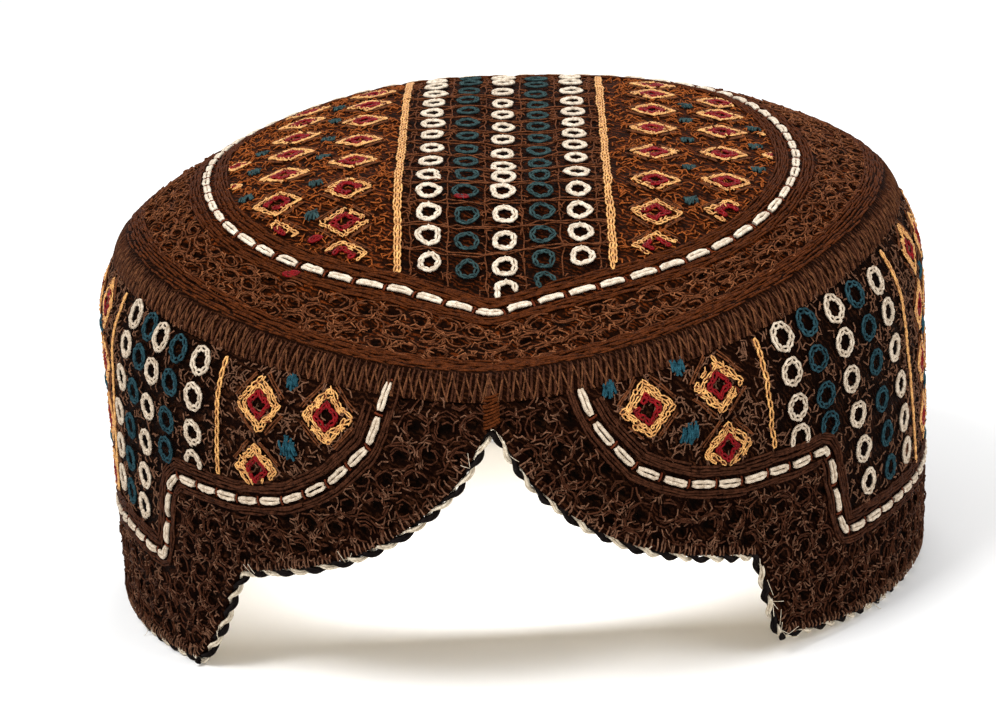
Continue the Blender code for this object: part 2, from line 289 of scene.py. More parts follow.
def beside(line, offset):
    """A line moved to its left by a length, in the flat cloth."""
    along = np.gradient(line, axis=0)
    along /= np.linalg.norm(along, axis=1)[:, None]
    return line + offset * np.stack([-along[:, 1], along[:, 0]], axis=-1)


# %% Distance from the frame and from the edge
def distance_map(runs, heights, line):
    """Distance from each place of the cloth to a line drawn on it."""
    grid_run, grid_height = np.meshgrid(runs, heights, indexing="ij")
    nearest = np.full(grid_run.shape, 1.0)
    for spot_run, spot_height in line:
        nearest = np.minimum(nearest, np.hypot(grid_run - spot_run, grid_height - spot_height))
    return nearest


MAP_RUNS = np.arange(-HALF_GIRTH, HALF_GIRTH, 1.0 * MM)
MAP_HEIGHTS = np.arange(0.0, 0.092, 1.0 * MM)
FRAME_HEIGHT = np.where(MAP_RUNS < 0, np.interp(MAP_RUNS, *FRAME_LINE.T, right=0.09),
                        np.interp(MAP_RUNS, *FRAME_LINE_RIGHT.T, left=0.09))
FRAME_MAP = distance_map(MAP_RUNS, MAP_HEIGHTS, np.concatenate([
    evenly(FRAME_LINE, 1.0 * MM), evenly(FRAME_LINE_RIGHT, 1.0 * MM)]))
FRAME_MAP *= np.where(MAP_HEIGHTS[None, :] > FRAME_HEIGHT[:, None], 1.0, -1.0)
EDGE_MAP = distance_map(MAP_RUNS, MAP_HEIGHTS, evenly(np.stack([EDGE_RUNS, CORD_HEIGHTS], axis=-1), 1.0 * MM))


def read_map(values, run, height):
    """A map of the band read between its places."""
    column = np.clip((around(run) - MAP_RUNS[0]) / MM, 0, len(MAP_RUNS) - 1.001)
    row = np.clip(np.asarray(height) / MM, 0, len(MAP_HEIGHTS) - 1.001)
    left_column, low_row = column.astype(int), row.astype(int)
    across, upward = column - left_column, row - low_row
    low = values[left_column, low_row] * (1 - across) + values[left_column + 1, low_row] * across
    high = values[left_column, low_row + 1] * (1 - across) + values[left_column + 1, low_row + 1] * across
    return low * (1 - upward) + high * upward


def inside_frame(run, height):
    """Length from the dashed line, positive on the patterned side of it."""
    return read_map(FRAME_MAP, run, height)


print(f"map of the band {FRAME_MAP.shape[0]} by {FRAME_MAP.shape[1]} places")

# %% Oval of the crown
OVAL_CENTRE, OVAL_SQUEEZE = -8.4 * MM, 1.014
# Reach of the crown's dashed oval from its centre: (angle from the front, reach in millimetres)
OVAL_REACH = ((-math.pi, 73.0), (-2.6, 74.0), (-2.35, 73.8), (-2.1, 72.0), (-1.9, 69.2), (-1.75, 66.8),
              (-1.40, 64.4), (-1.05, 65.4), (-0.75, 64.7), (-0.50, 63.5), (-0.30, 63.1), (-0.15, 65.0),
              (-0.06, 66.8), (0.0, 68.2), (0.06, 66.8), (0.15, 65.2), (0.30, 64.0), (0.50, 64.2),
              (0.75, 65.4), (1.05, 65.8), (1.40, 64.6), (1.75, 65.0), (2.15, 69.2), (2.4, 73.4),
              (2.6, 74.4), (math.pi, 73.0))


def oval_radius(angle):
    return smooth_through(OVAL_REACH, angle) * MM


def inside_oval(x, y):
    """Length from the crown's dashed oval, positive inside it."""
    angle = np.arctan2(x * OVAL_SQUEEZE, OVAL_CENTRE - y)
    return oval_radius(angle) - np.hypot(x * OVAL_SQUEEZE, y - OVAL_CENTRE)


print(f"oval {(oval_radius(0.0) + oval_radius(math.pi)) / MM:.0f} mm long")

# %% [markdown]
# ## Thread
# Everything on this cap is thread, so one helper makes all of it. Thread could be painted as bump,
# but then it would have no outline and cast no shadow. A curve object can hold thousands of separate
# lines, and its bevel gives each one a round section and closed ends, so the helper takes lines of
# points and lays them as one curve. The curve is then turned into a mesh, which keeps its place and
# can be exported.

# %% Strands of thread
# Radii of the threads that are used again and again
FINE_THREAD, NET_THREAD, STEM_THREAD, TIE_THREAD = 0.17 * MM, 0.19 * MM, 0.27 * MM, 0.42 * MM


def strands(name, lines, radius, material, sides=4, closed=False):
    """One mesh of many strands of thread, each along one line of points."""
    curve = bpy.data.curves.new(name, "CURVE")
    curve.dimensions = "3D"
    curve.twist_mode = "MINIMUM"
    curve.bevel_mode = "ROUND"
    curve.bevel_depth = radius
    curve.bevel_resolution = (sides - 4) // 2
    curve.use_fill_caps = True
    for line in lines:
        spots = np.asarray(line, float)
        spline = curve.splines.new("POLY")
        spline.points.add(len(spots) - 1)
        spline.points.foreach_set("co", np.column_stack([spots[:, :3], np.ones(len(spots))]).ravel())
        if spots.shape[1] > 3:
            spline.points.foreach_set("radius", spots[:, 3])
        spline.use_cyclic_u = closed
    holder = bpy.data.objects.new(name + "_line", curve)
    bpy.context.scene.collection.objects.link(holder)
    ready = bpy.context.evaluated_depsgraph_get()
    mesh = bpy.data.meshes.new_from_object(holder.evaluated_get(ready))
    bpy.data.objects.remove(holder)
    bpy.data.curves.remove(curve)
    mesh.name = name
    mesh.materials.clear()
    mesh.materials.append(material)
    mesh.polygons.foreach_set("use_smooth", np.ones(len(mesh.polygons), bool))
    piece = bpy.data.objects.new(name, mesh)
    bpy.context.scene.collection.objects.link(piece)
    mesh.calc_loop_triangles()
    print(f"{name}: {len(lines)} strands, {len(mesh.loop_triangles)} triangles")
    return piece


def dressed(piece, slot, *nodes):
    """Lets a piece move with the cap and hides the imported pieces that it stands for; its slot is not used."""
    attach(piece, "root")
    if nodes:
        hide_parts(*nodes)
    return piece


def sewn(name, lines, radius, material, slot, *nodes, sides=4, closed=False):
    """Strands of thread, made and dressed in one step."""
    return dressed(strands(name, lines, radius, material, sides, closed), slot, *nodes)


def unbroken(flags, least=3):
    """Start and end of every stretch of a line that stays inside an area."""
    edges = np.flatnonzero(np.diff(np.concatenate([[0], np.asarray(flags, int), [0]])))
    return [(a, b) for a, b in zip(edges[::2], edges[1::2]) if b - a >= least]


# %% [markdown]
# ## Finishes for thread and cloth
# Spun thread isn't one colour. Here its colour is mottled by noise between a deep and a bright colour:
# partly the thread's own uneven tone, and partly painted highlight where its fibres would catch the
# light and painted shade where it dips. A node group gives any thread this mottled colour and its fine
# fibre relief, so each material only names its own two colours. A second group draws the small close
# stitches of the filled ground, as bent bands that are pushed about by noise, so that no two stitches
# match; their crests, the high places of the bump, take the bright colour, partly as painted highlight.

# %% Node groups
def new_group(name, inputs, outputs):
    group = bpy.data.node_groups.new(name, "ShaderNodeTree")
    for label, kind, value in inputs:
        socket = group.interface.new_socket(label, in_out="INPUT", socket_type=kind)
        if value is not None:
            socket.default_value = value
    for label, kind in outputs:
        group.interface.new_socket(label, in_out="OUTPUT", socket_type=kind)
    start, end = group.nodes.new("NodeGroupInput"), group.nodes.new("NodeGroupOutput")
    return group, start, end


def node(group, kind, *links, **settings):
    """A node with its settings, and its inputs joined to sockets or set to values."""
    made = group.nodes.new(kind)
    for key, value in settings.items():
        setattr(made, key, value)
    for label, value in links:
        if isinstance(value, bpy.types.NodeSocket):
            group.links.new(value, made.inputs[label])
        else:
            made.inputs[label].default_value = value
    return made


# %% Spun thread
spun, spun_in, spun_out = new_group(
    "SpunThread",
    (("Vector", "NodeSocketVector", None), ("Deep", "NodeSocketColor", (0, 0, 0, 1)),
     ("Bright", "NodeSocketColor", (1, 1, 1, 1)), ("Slub Scale", "NodeSocketFloat", 900.0),
     ("Fibre Scale", "NodeSocketFloat", 5200.0)),
    (("Colour", "NodeSocketColor"), ("Height", "NodeSocketFloat")),
)
slub = node(spun, "ShaderNodeTexNoise", ("Vector", spun_in.outputs["Vector"]),
            ("Scale", spun_in.outputs["Slub Scale"]), ("Detail", 3.0), ("Roughness", 0.6))
fibre = node(spun, "ShaderNodeTexNoise", ("Vector", spun_in.outputs["Vector"]),
             ("Scale", spun_in.outputs["Fibre Scale"]), ("Detail", 2.0), ("Roughness", 0.7))
both = node(spun, "ShaderNodeMath", (0, slub.outputs["Fac"]), (1, fibre.outputs["Fac"]), operation="ADD")
spread = node(spun, "ShaderNodeMapRange", ("Value", both.outputs[0]), ("From Min", 0.72), ("From Max", 1.28))
# Deep is partly painted shade and Bright partly painted highlight; the noise between them is also the thread's
# own uneven tone.
tint = node(spun, "ShaderNodeMix", ("Factor", spread.outputs["Result"]), (6, spun_in.outputs["Deep"]),
            (7, spun_in.outputs["Bright"]), data_type="RGBA")
spun.links.new(tint.outputs[2], spun_out.inputs["Colour"])
spun.links.new(fibre.outputs["Fac"], spun_out.inputs["Height"])

print("node group:", spun.name)

# %% Stitched ground
ground, ground_in, ground_out = new_group(
    "StitchedGround",
    (("Vector", "NodeSocketVector", None), ("Stitch Scale", "NodeSocketFloat", 330.0),
     ("Wander", "NodeSocketFloat", 9.0)),
    (("Stitch", "NodeSocketFloat"), ("Height", "NodeSocketFloat")),
)
bands = node(ground, "ShaderNodeTexWave", ("Vector", ground_in.outputs["Vector"]),
             ("Scale", ground_in.outputs["Stitch Scale"]), ("Distortion", ground_in.outputs["Wander"]),
             ("Detail", 3.0), ("Detail Scale", 1.6), ("Detail Roughness", 0.62), wave_type="BANDS",
             bands_direction="DIAGONAL")
# The crests take the bright colour and are also the high places of the bump: partly the stitches' own pattern,
# partly painted highlight, with painted shade in the deep between.
crests = node(ground, "ShaderNodeMath", (0, bands.outputs["Fac"]), (1, 2.2), operation="POWER")
patches = node(ground, "ShaderNodeTexNoise", ("Vector", ground_in.outputs["Vector"]), ("Scale", 420.0),
               ("Detail", 2.0))
patchy = node(ground, "ShaderNodeMapRange", ("Value", patches.outputs["Fac"]), ("From Min", 0.35),
              ("From Max", 0.68))
stitch = node(ground, "ShaderNodeMath", (0, crests.outputs[0]), (1, patchy.outputs["Result"]),
              operation="MULTIPLY")
ground.links.new(stitch.outputs[0], ground_out.inputs["Stitch"])
ground.links.new(crests.outputs[0], ground_out.inputs["Height"])
print("node group:", ground.name)


# %% Thread materials
DULL_GLOSS, FIBRE_RELIEF, STITCH_RELIEF = 0.02, 0.12 * MM, 0.5 * MM


def colour(red, green, blue):
    """A colour as seen on screen, from 0 to 255, turned into linear light."""
    return tuple(
        (part / 255 / 12.92) if part <= 10 else ((part / 255 + 0.055) / 1.055) ** 2.4
        for part in (red, green, blue)
    ) + (1.0,)


def blank_material(name, roughness, gloss, bump_distance):
    """A cloth material with its shader, its object coordinates and its bump ready to be joined."""
    made = bpy.data.materials.new(name)
    made.use_nodes = True
    tree = made.node_tree
    shader = tree.nodes["Principled BSDF"]
    shader.inputs["Roughness"].default_value = roughness
    shader.inputs["Specular IOR Level"].default_value = gloss
    place = tree.nodes.new("ShaderNodeTexCoord").outputs["Object"]
    relief = tree.nodes.new("ShaderNodeBump")
    relief.inputs["Strength"].default_value = 0.6
    relief.inputs["Distance"].default_value = bump_distance
    tree.links.new(relief.outputs["Normal"], shader.inputs["Normal"])
    return made, tree, shader, place, relief


def thread_material(name, deep, bright, roughness=0.6, gloss=DULL_GLOSS):
    made, tree, shader, place, relief = blank_material(name, roughness, gloss, FIBRE_RELIEF)
    spin = node(tree, "ShaderNodeGroup", node_tree=spun)
    tree.links.new(place, spin.inputs["Vector"])
    spin.inputs["Deep"].default_value = colour(*deep)
    spin.inputs["Bright"].default_value = colour(*bright)
    tree.links.new(spin.outputs["Colour"], shader.inputs["Base Color"])
    tree.links.new(spin.outputs["Height"], relief.inputs["Height"])
    return made


# Each thread: a deep and a bright colour, partly its own uneven tone, partly painted shade and painted
# highlight.
WHITE = thread_material("white_cotton", (150, 128, 102), (240, 227, 207), 0.6, 0.25)
WALL_WHITE = thread_material("wall_white_cotton", (132, 110, 86), (222, 206, 184), 0.6, 0.2)
GOLD = thread_material("gold_silk", (128, 60, 20), (246, 190, 112), 0.45, 0.25)
RED = thread_material("red_silk", (64, 0, 2), (140, 8, 16), 0.5, 0.1)
TEAL_DARK = thread_material("teal_crown_thread", (6, 12, 14), (62, 86, 86))
TEAL_RING = thread_material("teal_wall_thread", (4, 12, 15), (48, 80, 88))
TEAL = thread_material("teal_knot_thread", (3, 16, 22), (42, 86, 98))
BROWN_LIGHT = thread_material("brown_light_thread", (32, 9, 3), (156, 98, 62))
BROWN = thread_material("brown_thread", (20, 4, 1), (120, 70, 42))
BROWN_DARK = thread_material("brown_dark_thread", (18, 3, 0), (92, 45, 18))
FIELD_BROWN = thread_material("field_brown_thread", (44, 14, 3), (168, 90, 40))
WALL_LIGHT = thread_material("wall_light_thread", (20, 6, 2), (128, 90, 68))
WALL_BROWN = thread_material("wall_brown_thread", (8, 1, 0), (80, 46, 30))
SEAM_BROWN = thread_material("seam_brown_thread", (22, 6, 2), (114, 72, 46))
TIE_BROWN = thread_material("tie_red_brown_thread", (48, 14, 6), (112, 54, 32))
BLACK = thread_material("black_yarn", (4, 2, 2), (30, 25, 24), 0.7)
PALE = thread_material("pale_yarn", (150, 130, 104), (232, 220, 198), 0.7, 0.2)


# %% Cloth materials
def cloth_material(name, deep, bright, pit_shade_colour, scale, wander):
    """Stitched ground: bright stitch crests on a deep cloth, partly painted highlight and shade, and painted
    shade, near black, where the pit attribute is high.
    """
    made, tree, shader, place, relief = blank_material(name, 0.8, DULL_GLOSS, STITCH_RELIEF)
    made_ground = node(tree, "ShaderNodeGroup", node_tree=ground)
    tree.links.new(place, made_ground.inputs["Vector"])
    made_ground.inputs["Stitch Scale"].default_value = scale
    made_ground.inputs["Wander"].default_value = wander
    # Bright stitch crests over deep cloth: partly the stitch pattern, partly painted highlight and painted
    # shade.
    stitched = node(tree, "ShaderNodeMix", ("Factor", made_ground.outputs["Stitch"]),
                    (6, colour(*deep)), (7, colour(*bright)), data_type="RGBA")
    # Painted shade: the cloth turns near black where the pit attribute is high, deepest in the eyelets.
    pit_shade_mask = node(tree, "ShaderNodeAttribute", attribute_name="pit")
    sunk = node(tree, "ShaderNodeMix", ("Factor", pit_shade_mask.outputs["Fac"]), (6, stitched.outputs[2]),
                (7, colour(*pit_shade_colour)), data_type="RGBA")
    tree.links.new(sunk.outputs[2], shader.inputs["Base Color"])
    tree.links.new(made_ground.outputs["Height"], relief.inputs["Height"])
    return made


# Each cloth names a deep colour, a bright colour for its stitch crests, and a pit colour: the last is painted
# shade in the eyelet hollows, on the lining as well.
CROWN_CLOTH = cloth_material("crown_stitched_cloth", (22, 6, 1), (114, 52, 18), (4, 1, 0), 330.0, 9.0)
BAND_CLOTH = cloth_material("band_stitched_cloth", (12, 2, 0), (62, 33, 18), (3, 1, 0), 330.0, 9.0)
INSIDE_CLOTH = cloth_material("lining_cotton", (206, 196, 178), (240, 234, 222), (150, 136, 116), 520.0, 3.0)
print(len(bpy.data.materials), "materials")

# %% [markdown]
# ## Openwork
# Outside the frames the ground is openwork, staggered rows of small eyelets whose walls are
# wrapped in brown thread. They could be cut through the cloth, but what shows through them is dark, so
# they are hollows, and their cloth is painted near black, which is painted shade, darkest at each middle.
# One lattice gives both the hollows and the thread that is worked round them, so the two always agree.

# %% Lattice of the eyelets
EYELET = 6.3 * MM
EYELET_ROW = 5.3 * MM
EYELET_REACH = 2.0 * MM


def eyelet_offset(place, level):
    """From each place to its nearest eyelet: along the row and across it, both in metres."""
    row = np.floor(level)
    stagger = 0.5 * (row % 2)
    along = (place / EYELET + stagger) % 1.0 - 0.5
    return along * EYELET, (level - row - 0.5) * EYELET_ROW


def eyelet_pit(place, level):
    """Depth of the eyelets from 0 to 1, which also sets their painted shade."""
    distance = np.hypot(*eyelet_offset(place, level))
    return np.clip(1 - (distance / EYELET_REACH) ** 2, 0, 1)


OVAL_BORDER = 4.4 * MM
CROWN_NET_ROWS = 3
CROWN_EYELETS = 74
NET_ANGLES = np.linspace(-math.pi, math.pi, 721)
net_rim_x, net_rim_y = crown_spot(ANGLES, 1.0, 4.0 * MM)
net_rim_angle = np.arctan2(net_rim_x * OVAL_SQUEEZE, OVAL_CENTRE - net_rim_y)
net_rim_reach = np.hypot(net_rim_x * OVAL_SQUEEZE, net_rim_y - OVAL_CENTRE)
net_order = np.argsort(net_rim_angle)
NET_WIDTHS = np.interp(NET_ANGLES, net_rim_angle[net_order], net_rim_reach[net_order])
NET_WIDTHS -= oval_radius(NET_ANGLES) + OVAL_BORDER


def crown_net_level(x, y):
    """Level between the oval's border and the rim, counted in rows, and the place along the rows."""
    angle = np.arctan2(x * OVAL_SQUEEZE, OVAL_CENTRE - y)
    outwards = -inside_oval(x, y) - OVAL_BORDER
    width = np.interp(angle, NET_ANGLES, NET_WIDTHS)
    return outwards / width * CROWN_NET_ROWS, angle * CROWN_EYELETS / (2 * math.pi) * EYELET


def crown_net_spot(place, level):
    """The place on the crown, in plan, of a place along the rows and a level."""
    angle = place / EYELET * 2 * math.pi / CROWN_EYELETS
    turned = (angle + math.pi) % (2 * math.pi) - math.pi
    reach = oval_radius(turned) + OVAL_BORDER
    reach = reach + level * np.interp(turned, NET_ANGLES, NET_WIDTHS) / CROWN_NET_ROWS
    return reach * np.sin(turned) / OVAL_SQUEEZE, OVAL_CENTRE - reach * np.cos(turned)


print(f"crown openwork {NET_WIDTHS.min() / MM:.1f} to {NET_WIDTHS.max() / MM:.1f} mm wide")

# %% [markdown]
# ## The crown's cloth
# The top is a disc of quilted cloth. A square grid is pressed into a disc, because its squares stay
# nearly even, where a fan of rings would crowd at the middle. Each point is then laid on the form
# and pushed in or out a little: the frame's borders stand up as ridges, the strip of rings lies a
# little lower, and the eyelets are hollows. Solidify gives the cloth its thickness.

# %% Ground relief of the crown
STRIP_HALF, STRIP_LEAN, STRIP_MIDDLE = 21.9 * MM, math.tan(math.radians(1.84)), 0.44 * MM
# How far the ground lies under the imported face, and how far in from a frame its pattern starts
GROUND_SINK, FRAME_MARGIN = 0.25 * MM, 4 * MM


def strip_across(x, y):
    """Length across the crown's strip of rings, from its slightly turned middle line."""
    return x - STRIP_MIDDLE + y * STRIP_LEAN


def ridge(distance, middle, half):
    """A rounded ridge, from 0 to 1, along a line at some distance."""
    return np.clip(1 - ((distance - middle) / half) ** 2, 0, 1)


def crown_relief(x, y):
    """Relief of the crown's ground in metres, and its pit value: how deep in an eyelet each place lies, which
    sets the painted shade there, plus 0.55 over the strip of rings, which darkens it part way.
    """
    inner = inside_oval(x, y)
    level, place = crown_net_level(x, y)
    in_net = (inner < -OVAL_BORDER) & (level < CROWN_NET_ROWS)
    pit = eyelet_pit(place, level) * in_net
    borders = ridge(inner, -2.7 * MM, 1.6 * MM) + ridge(inner, 2.9 * MM, 1.6 * MM)
    strip = (np.abs(strip_across(x, y)) < STRIP_HALF) & (inner > FRAME_MARGIN)
    relief = 0.30 * MM * borders - 0.75 * MM * pit - 0.20 * MM * strip
    return relief - GROUND_SINK, np.clip(pit + 0.55 * strip, 0, 1)


print(f"strip of rings {2 * STRIP_HALF / MM:.0f} mm wide")


# %% Crown cloth
def pressed_disc(u, v):
    """A square from -1 to 1 pressed into a disc: the reach and the angle of each place."""
    wide = np.abs(u) > np.abs(v)
    reach = np.where(wide, np.abs(u), np.abs(v))
    safe_u, safe_v = np.where(u == 0, 1e-9, u), np.where(v == 0, 1e-9, v)
    turn = np.where(wide, math.pi / 4 * v / safe_u + np.where(u < 0, math.pi, 0),
                    math.pi / 2 - math.pi / 4 * u / safe_v + np.where(v < 0, math.pi, 0))
    return reach, turn


def cloth_piece(name, columns, rows, lay, material, wall):
    """A sheet from a grid: lay(u, v) gives each place and its pit value, and Solidify the thickness."""
    grid = bmesh.new()
    bmesh.ops.create_grid(grid, x_segments=columns, y_segments=rows, size=1.0)
    corners = np.array([corner.co for corner in grid.verts])
    places, pit = lay(corners[:, 0], corners[:, 1])
    for corner, place in zip(grid.verts, places):
        corner.co = place
    mesh = bpy.data.meshes.new(name)
    grid.to_mesh(mesh)
    grid.free()
    # The pit value goes to the materials, which paint shade near black where it is high.
    mesh.attributes.new("pit", "FLOAT", "POINT").data.foreach_set("value", pit.astype(np.float32))
    mesh.polygons.foreach_set("use_smooth", np.ones(len(mesh.polygons), bool))
    mesh.materials.append(material)
    mesh.materials.append(INSIDE_CLOTH)
    piece = bpy.data.objects.new(name, mesh)
    bpy.context.scene.collection.objects.link(piece)
    thick = piece.modifiers.new("thickness", "SOLIDIFY")
    thick.thickness = wall
    thick.offset = -1.0
    thick.material_offset = 1
    print(f"{name}: {columns} by {rows} grid")
    return piece


def lay_crown(u, v):
    reach, turn = pressed_disc(u, v)
    x, y = crown_spot(turn - math.pi / 2, reach, 1.6 * MM)
    relief, pit = crown_relief(x, y)
    return on_crown(x, y, relief), pit


crown_cloth = cloth_piece("crown_cloth", 152, 152, lay_crown, CROWN_CLOTH, 2.0 * MM)
dressed(crown_cloth, "brown_embroidery", "crown_panel")

# %% [markdown]
# ## The band's cloth
# The side is one long strip, so its grid runs round the head and up from the cord to the seam. The
# arch could be cut out of a plain strip, but then its edge would be ragged, so the grid's rows bend
# to follow the arch, the lobes and the steps. The two ends meet under the front seam.

# %% Band cloth
NET_BORDER = 3.2 * MM
OVERCAST_DROP = 4.4 * MM
# Rows of eyelets on the band, and how many pitches lie on each side of the front
BAND_NET_ROWS, BAND_NET_START, BAND_NET_REACH = 13, 0.62, 47
# Gold lines and strips of rings on the band, as runs in millimetres: (start, end)
RING_STRIPS = ((61.0, 111.5), (-110.5, -65.0), (179.5, 231.5), (-231.5, -179.5))


def band_net_level(run, height):
    """Level of a place of the band's openwork, counted in rows up from the hem."""
    return height / EYELET_ROW - BAND_NET_START


def in_ring_strip(run):
    """Whether a run lies in one of the strips of rings."""
    flags = np.zeros(np.shape(run), bool)
    for start, end in RING_STRIPS:
        flags |= (around(run) > start * MM) & (around(run) < end * MM)
    return flags


def band_relief(run, height):
    inner = inside_frame(run, height)
    edge = read_map(EDGE_MAP, run, height)
    below_seam = rim_at(run) - OVERCAST_DROP - height
    in_net = (inner < -NET_BORDER) & (edge > 2.4 * MM) & (below_seam > 0)
    pit = eyelet_pit(around(run), band_net_level(run, height)) * in_net
    borders = ridge(inner, -2.3 * MM, 1.2 * MM) + ridge(inner, 3.0 * MM, 1.9 * MM)
    strip = in_ring_strip(run) & (inner > FRAME_MARGIN) & (below_seam > 0)
    relief = 0.25 * MM * borders - 0.70 * MM * pit - 0.12 * MM * strip
    # The pit value sets painted shade in the eyelets, and adds 0.45 over the strip of rings, which darkens it
    # part way.
    return relief - GROUND_SINK, np.clip(pit + 0.45 * strip, 0, 1)


def lay_band(u, v):
    run = HALF_GIRTH + u * (HALF_GIRTH - 0.3 * MM)
    low = cord_level(run) + 0.6 * MM
    height = low + (rim_at(run) - 1.6 * MM - low) * (0.5 + 0.5 * v)
    relief, pit = band_relief(run, height)
    return on_wall(run, height, relief), pit


band_cloth = cloth_piece("band_cloth", 420, 44, lay_band, BAND_CLOTH, 2.0 * MM)
dressed(band_cloth, "brown_openwork", "side_band")

# %% [markdown]
# ## Threads of the openwork
# Each eyelet is bound by several passes of thread, none of them a whole or even circle. Whole rings
# would look like netting, so here every pass is a bent strand that covers part of a turn, at its own
# distance from the hollow.

# %% Openwork threads
wander = np.random.default_rng(11)


def wobble(count, size, reach=6):
    """A smooth random wobble along a line."""
    rough = wander.normal(0, 1, count + 2 * reach)
    window = np.hanning(2 * reach + 1)
    return size * np.convolve(rough, window / np.sqrt((window**2).sum()), mode="valid")[:count]


# How far each pass round an eyelet lies from its middle, in millimetres
PASS_REACHES, PASS_POINTS = (1.4, 1.6, 1.85, 2.1, 2.35, 2.6, 2.85, 3.1), 4


def eyelet_passes():
    """Flat bent strands round one eyelet, as offsets along and across its row."""
    passes = []
    for reach in PASS_REACHES:
        start, sweep = wander.uniform(0, 2 * math.pi), wander.uniform(0.3, 0.8) * math.pi
        turns = start + sweep * np.linspace(0, 1, PASS_POINTS)
        length = (reach + wander.normal(0, 0.16, PASS_POINTS) + wander.uniform(-0.2, 0.2)) * MM
        shift = wander.normal(0, 0.10 * reach * MM, 2)
        passes.append((1.12 * length * np.cos(turns) + shift[0], length * np.sin(turns) + shift[1]))
    return passes


# %% Openwork of the crown
def crown_net_lines():
    lines = []
    for row in range(CROWN_NET_ROWS):
        for count in range(CROWN_EYELETS):
            middle = (count + 0.5 - 0.5 * (row % 2)) * EYELET
            for along, across in eyelet_passes():
                level = np.clip(row + 0.5 + across / EYELET_ROW, -0.1, CROWN_NET_ROWS + 0.1)
                x, y = crown_net_spot(middle + along, level)
                lift = (0.05 + 0.35 * wander.random()) * MM + wobble(PASS_POINTS, 0.16 * MM, 2)
                lines.append(on_crown(x, y, lift))
    return lines


sewn("crown_net_threads", crown_net_lines(), NET_THREAD, BROWN, "brown_embroidery")


# %% Openwork of the band
def band_net_area(run, height):
    """Whether a place of the band lies in the openwork."""
    below = (inside_frame(run, height) < -NET_BORDER) & (height < rim_at(run) - OVERCAST_DROP)
    return below & (height > cord_level(run)) & (read_map(EDGE_MAP, run, height) > 1.2 * MM)


def band_net(run, height):
    """Whether an eyelet reaches into the openwork."""
    return band_net_area(run, height) | band_net_area(run, height + 4 * MM)


def band_net_lines():
    lines = []
    for row in range(BAND_NET_ROWS):
        for middle in (np.arange(-BAND_NET_REACH, BAND_NET_REACH) + 0.5 - 0.5 * (row % 2)) * EYELET:
            height = (row + 0.5 + BAND_NET_START) * EYELET_ROW
            if abs(middle) > HALF_GIRTH or not band_net(np.array(middle), np.array(height - 2 * MM)):
                continue
            for along, across in eyelet_passes():
                runs, heights = middle + along, height + across
                keep = band_net_area(runs, heights)
                lift = (0.05 + 0.32 * wander.random()) * MM + wobble(PASS_POINTS, 0.16 * MM, 2)
                spots = on_wall(runs, heights, lift)
                lines += [spots[a:b] for a, b in unbroken(keep)]
    return lines


sewn("band_net_threads", band_net_lines(), NET_THREAD, WALL_BROWN, "brown_openwork")

# %% [markdown]
# ## Loose short stitches of the ground
# Over the whole ground lie thousands of tiny bent stitches, where the needle worked back and forth.
# They could be instances of one stitch, but no two are alike on real cloth. Each is a strand of only
# three points, light enough to be repeated thousands of times.

# %% Short ground stitches
def short_stitches(spots, lengths, turns, bends, lay, lift):
    """Small bent strands laid on the cloth by lay(across, along, lift)."""
    lines = []
    share, rise = np.array((-0.5, 0.0, 0.5)), np.array((-0.12, lift, -0.12)) * MM
    for (across, along), length, turn, bend in zip(spots, lengths, turns, bends):
        side = np.array((0.0, bend, 0.0))
        step_across = length * (share * math.cos(turn) - side * math.sin(turn))
        step_along = length * (share * math.sin(turn) + side * math.cos(turn))
        lines.append(lay(across + step_across, along + step_along, rise))
    return lines


# Runs further round than this lie behind, where fewer stitches are enough
SHOWN_RUN = 128 * MM


def scattered(count, low, high, keep, seed):
    """Random places in a box of the cloth where keep says yes, fewer behind."""
    chance = np.random.default_rng(seed)
    spots = chance.uniform(low, high, (count, 2))
    spots = spots[keep(spots[:, 0], spots[:, 1])]
    spots = spots[(np.abs(spots[:, 0]) < SHOWN_RUN) | (np.arange(len(spots)) % 5 < 2)]
    lengths = chance.uniform(1.1, 2.6, len(spots)) * MM
    turns = chance.uniform(0, math.pi, len(spots))
    bends = chance.uniform(-0.5, 0.5, len(spots))
    return spots, lengths, turns, bends


# %% Ground of the crown
# Least length from the dashes to the ground's stitches
GROUND_MARGIN = 4.4 * MM
# Between the eyelets the pit value stays under this
OPEN_PIT = 0.15


def beside_strip(x, y):
    return np.abs(strip_across(x, y)) > STRIP_HALF + 1.2 * MM


def crown_ground(x, y):
    return (inside_oval(x, y) > GROUND_MARGIN) & beside_strip(x, y)


def crown_field(x, y):
    """The field of diamonds on the crown, up to the first row of its border."""
    return (inside_oval(x, y) > 5.4 * MM) & beside_strip(x, y)


def crown_net(x, y):
    level, place = crown_net_level(x, y)
    return (level > 0) & (level < CROWN_NET_ROWS) & (eyelet_pit(place, level) < OPEN_PIT)


CROWN_BOX = ((-0.088, -0.1), (0.088, 0.088))
fill = short_stitches(*scattered(8200, *CROWN_BOX, crown_ground, 5), on_crown, 0.30)
sewn("crown_ground_stitches", fill, FINE_THREAD, FIELD_BROWN, "brown_embroidery")
fill = short_stitches(*scattered(7000, *CROWN_BOX, crown_net, 6), on_crown, 0.45)
sewn("crown_net_stitches", fill, 0.16 * MM, BROWN_LIGHT, "brown_embroidery")


# %% Ground of the band
def band_ground(run, height):
    under_seam = height < rim_at(run) - OVERCAST_DROP - 0.5 * MM
    patterned = (inside_frame(run, height) > GROUND_MARGIN) & under_seam
    return patterned & ~in_ring_strip(run)


def between_eyelets(run, height):
    return band_net_area(run, height) & (eyelet_pit(around(run), band_net_level(run, height)) < OPEN_PIT)


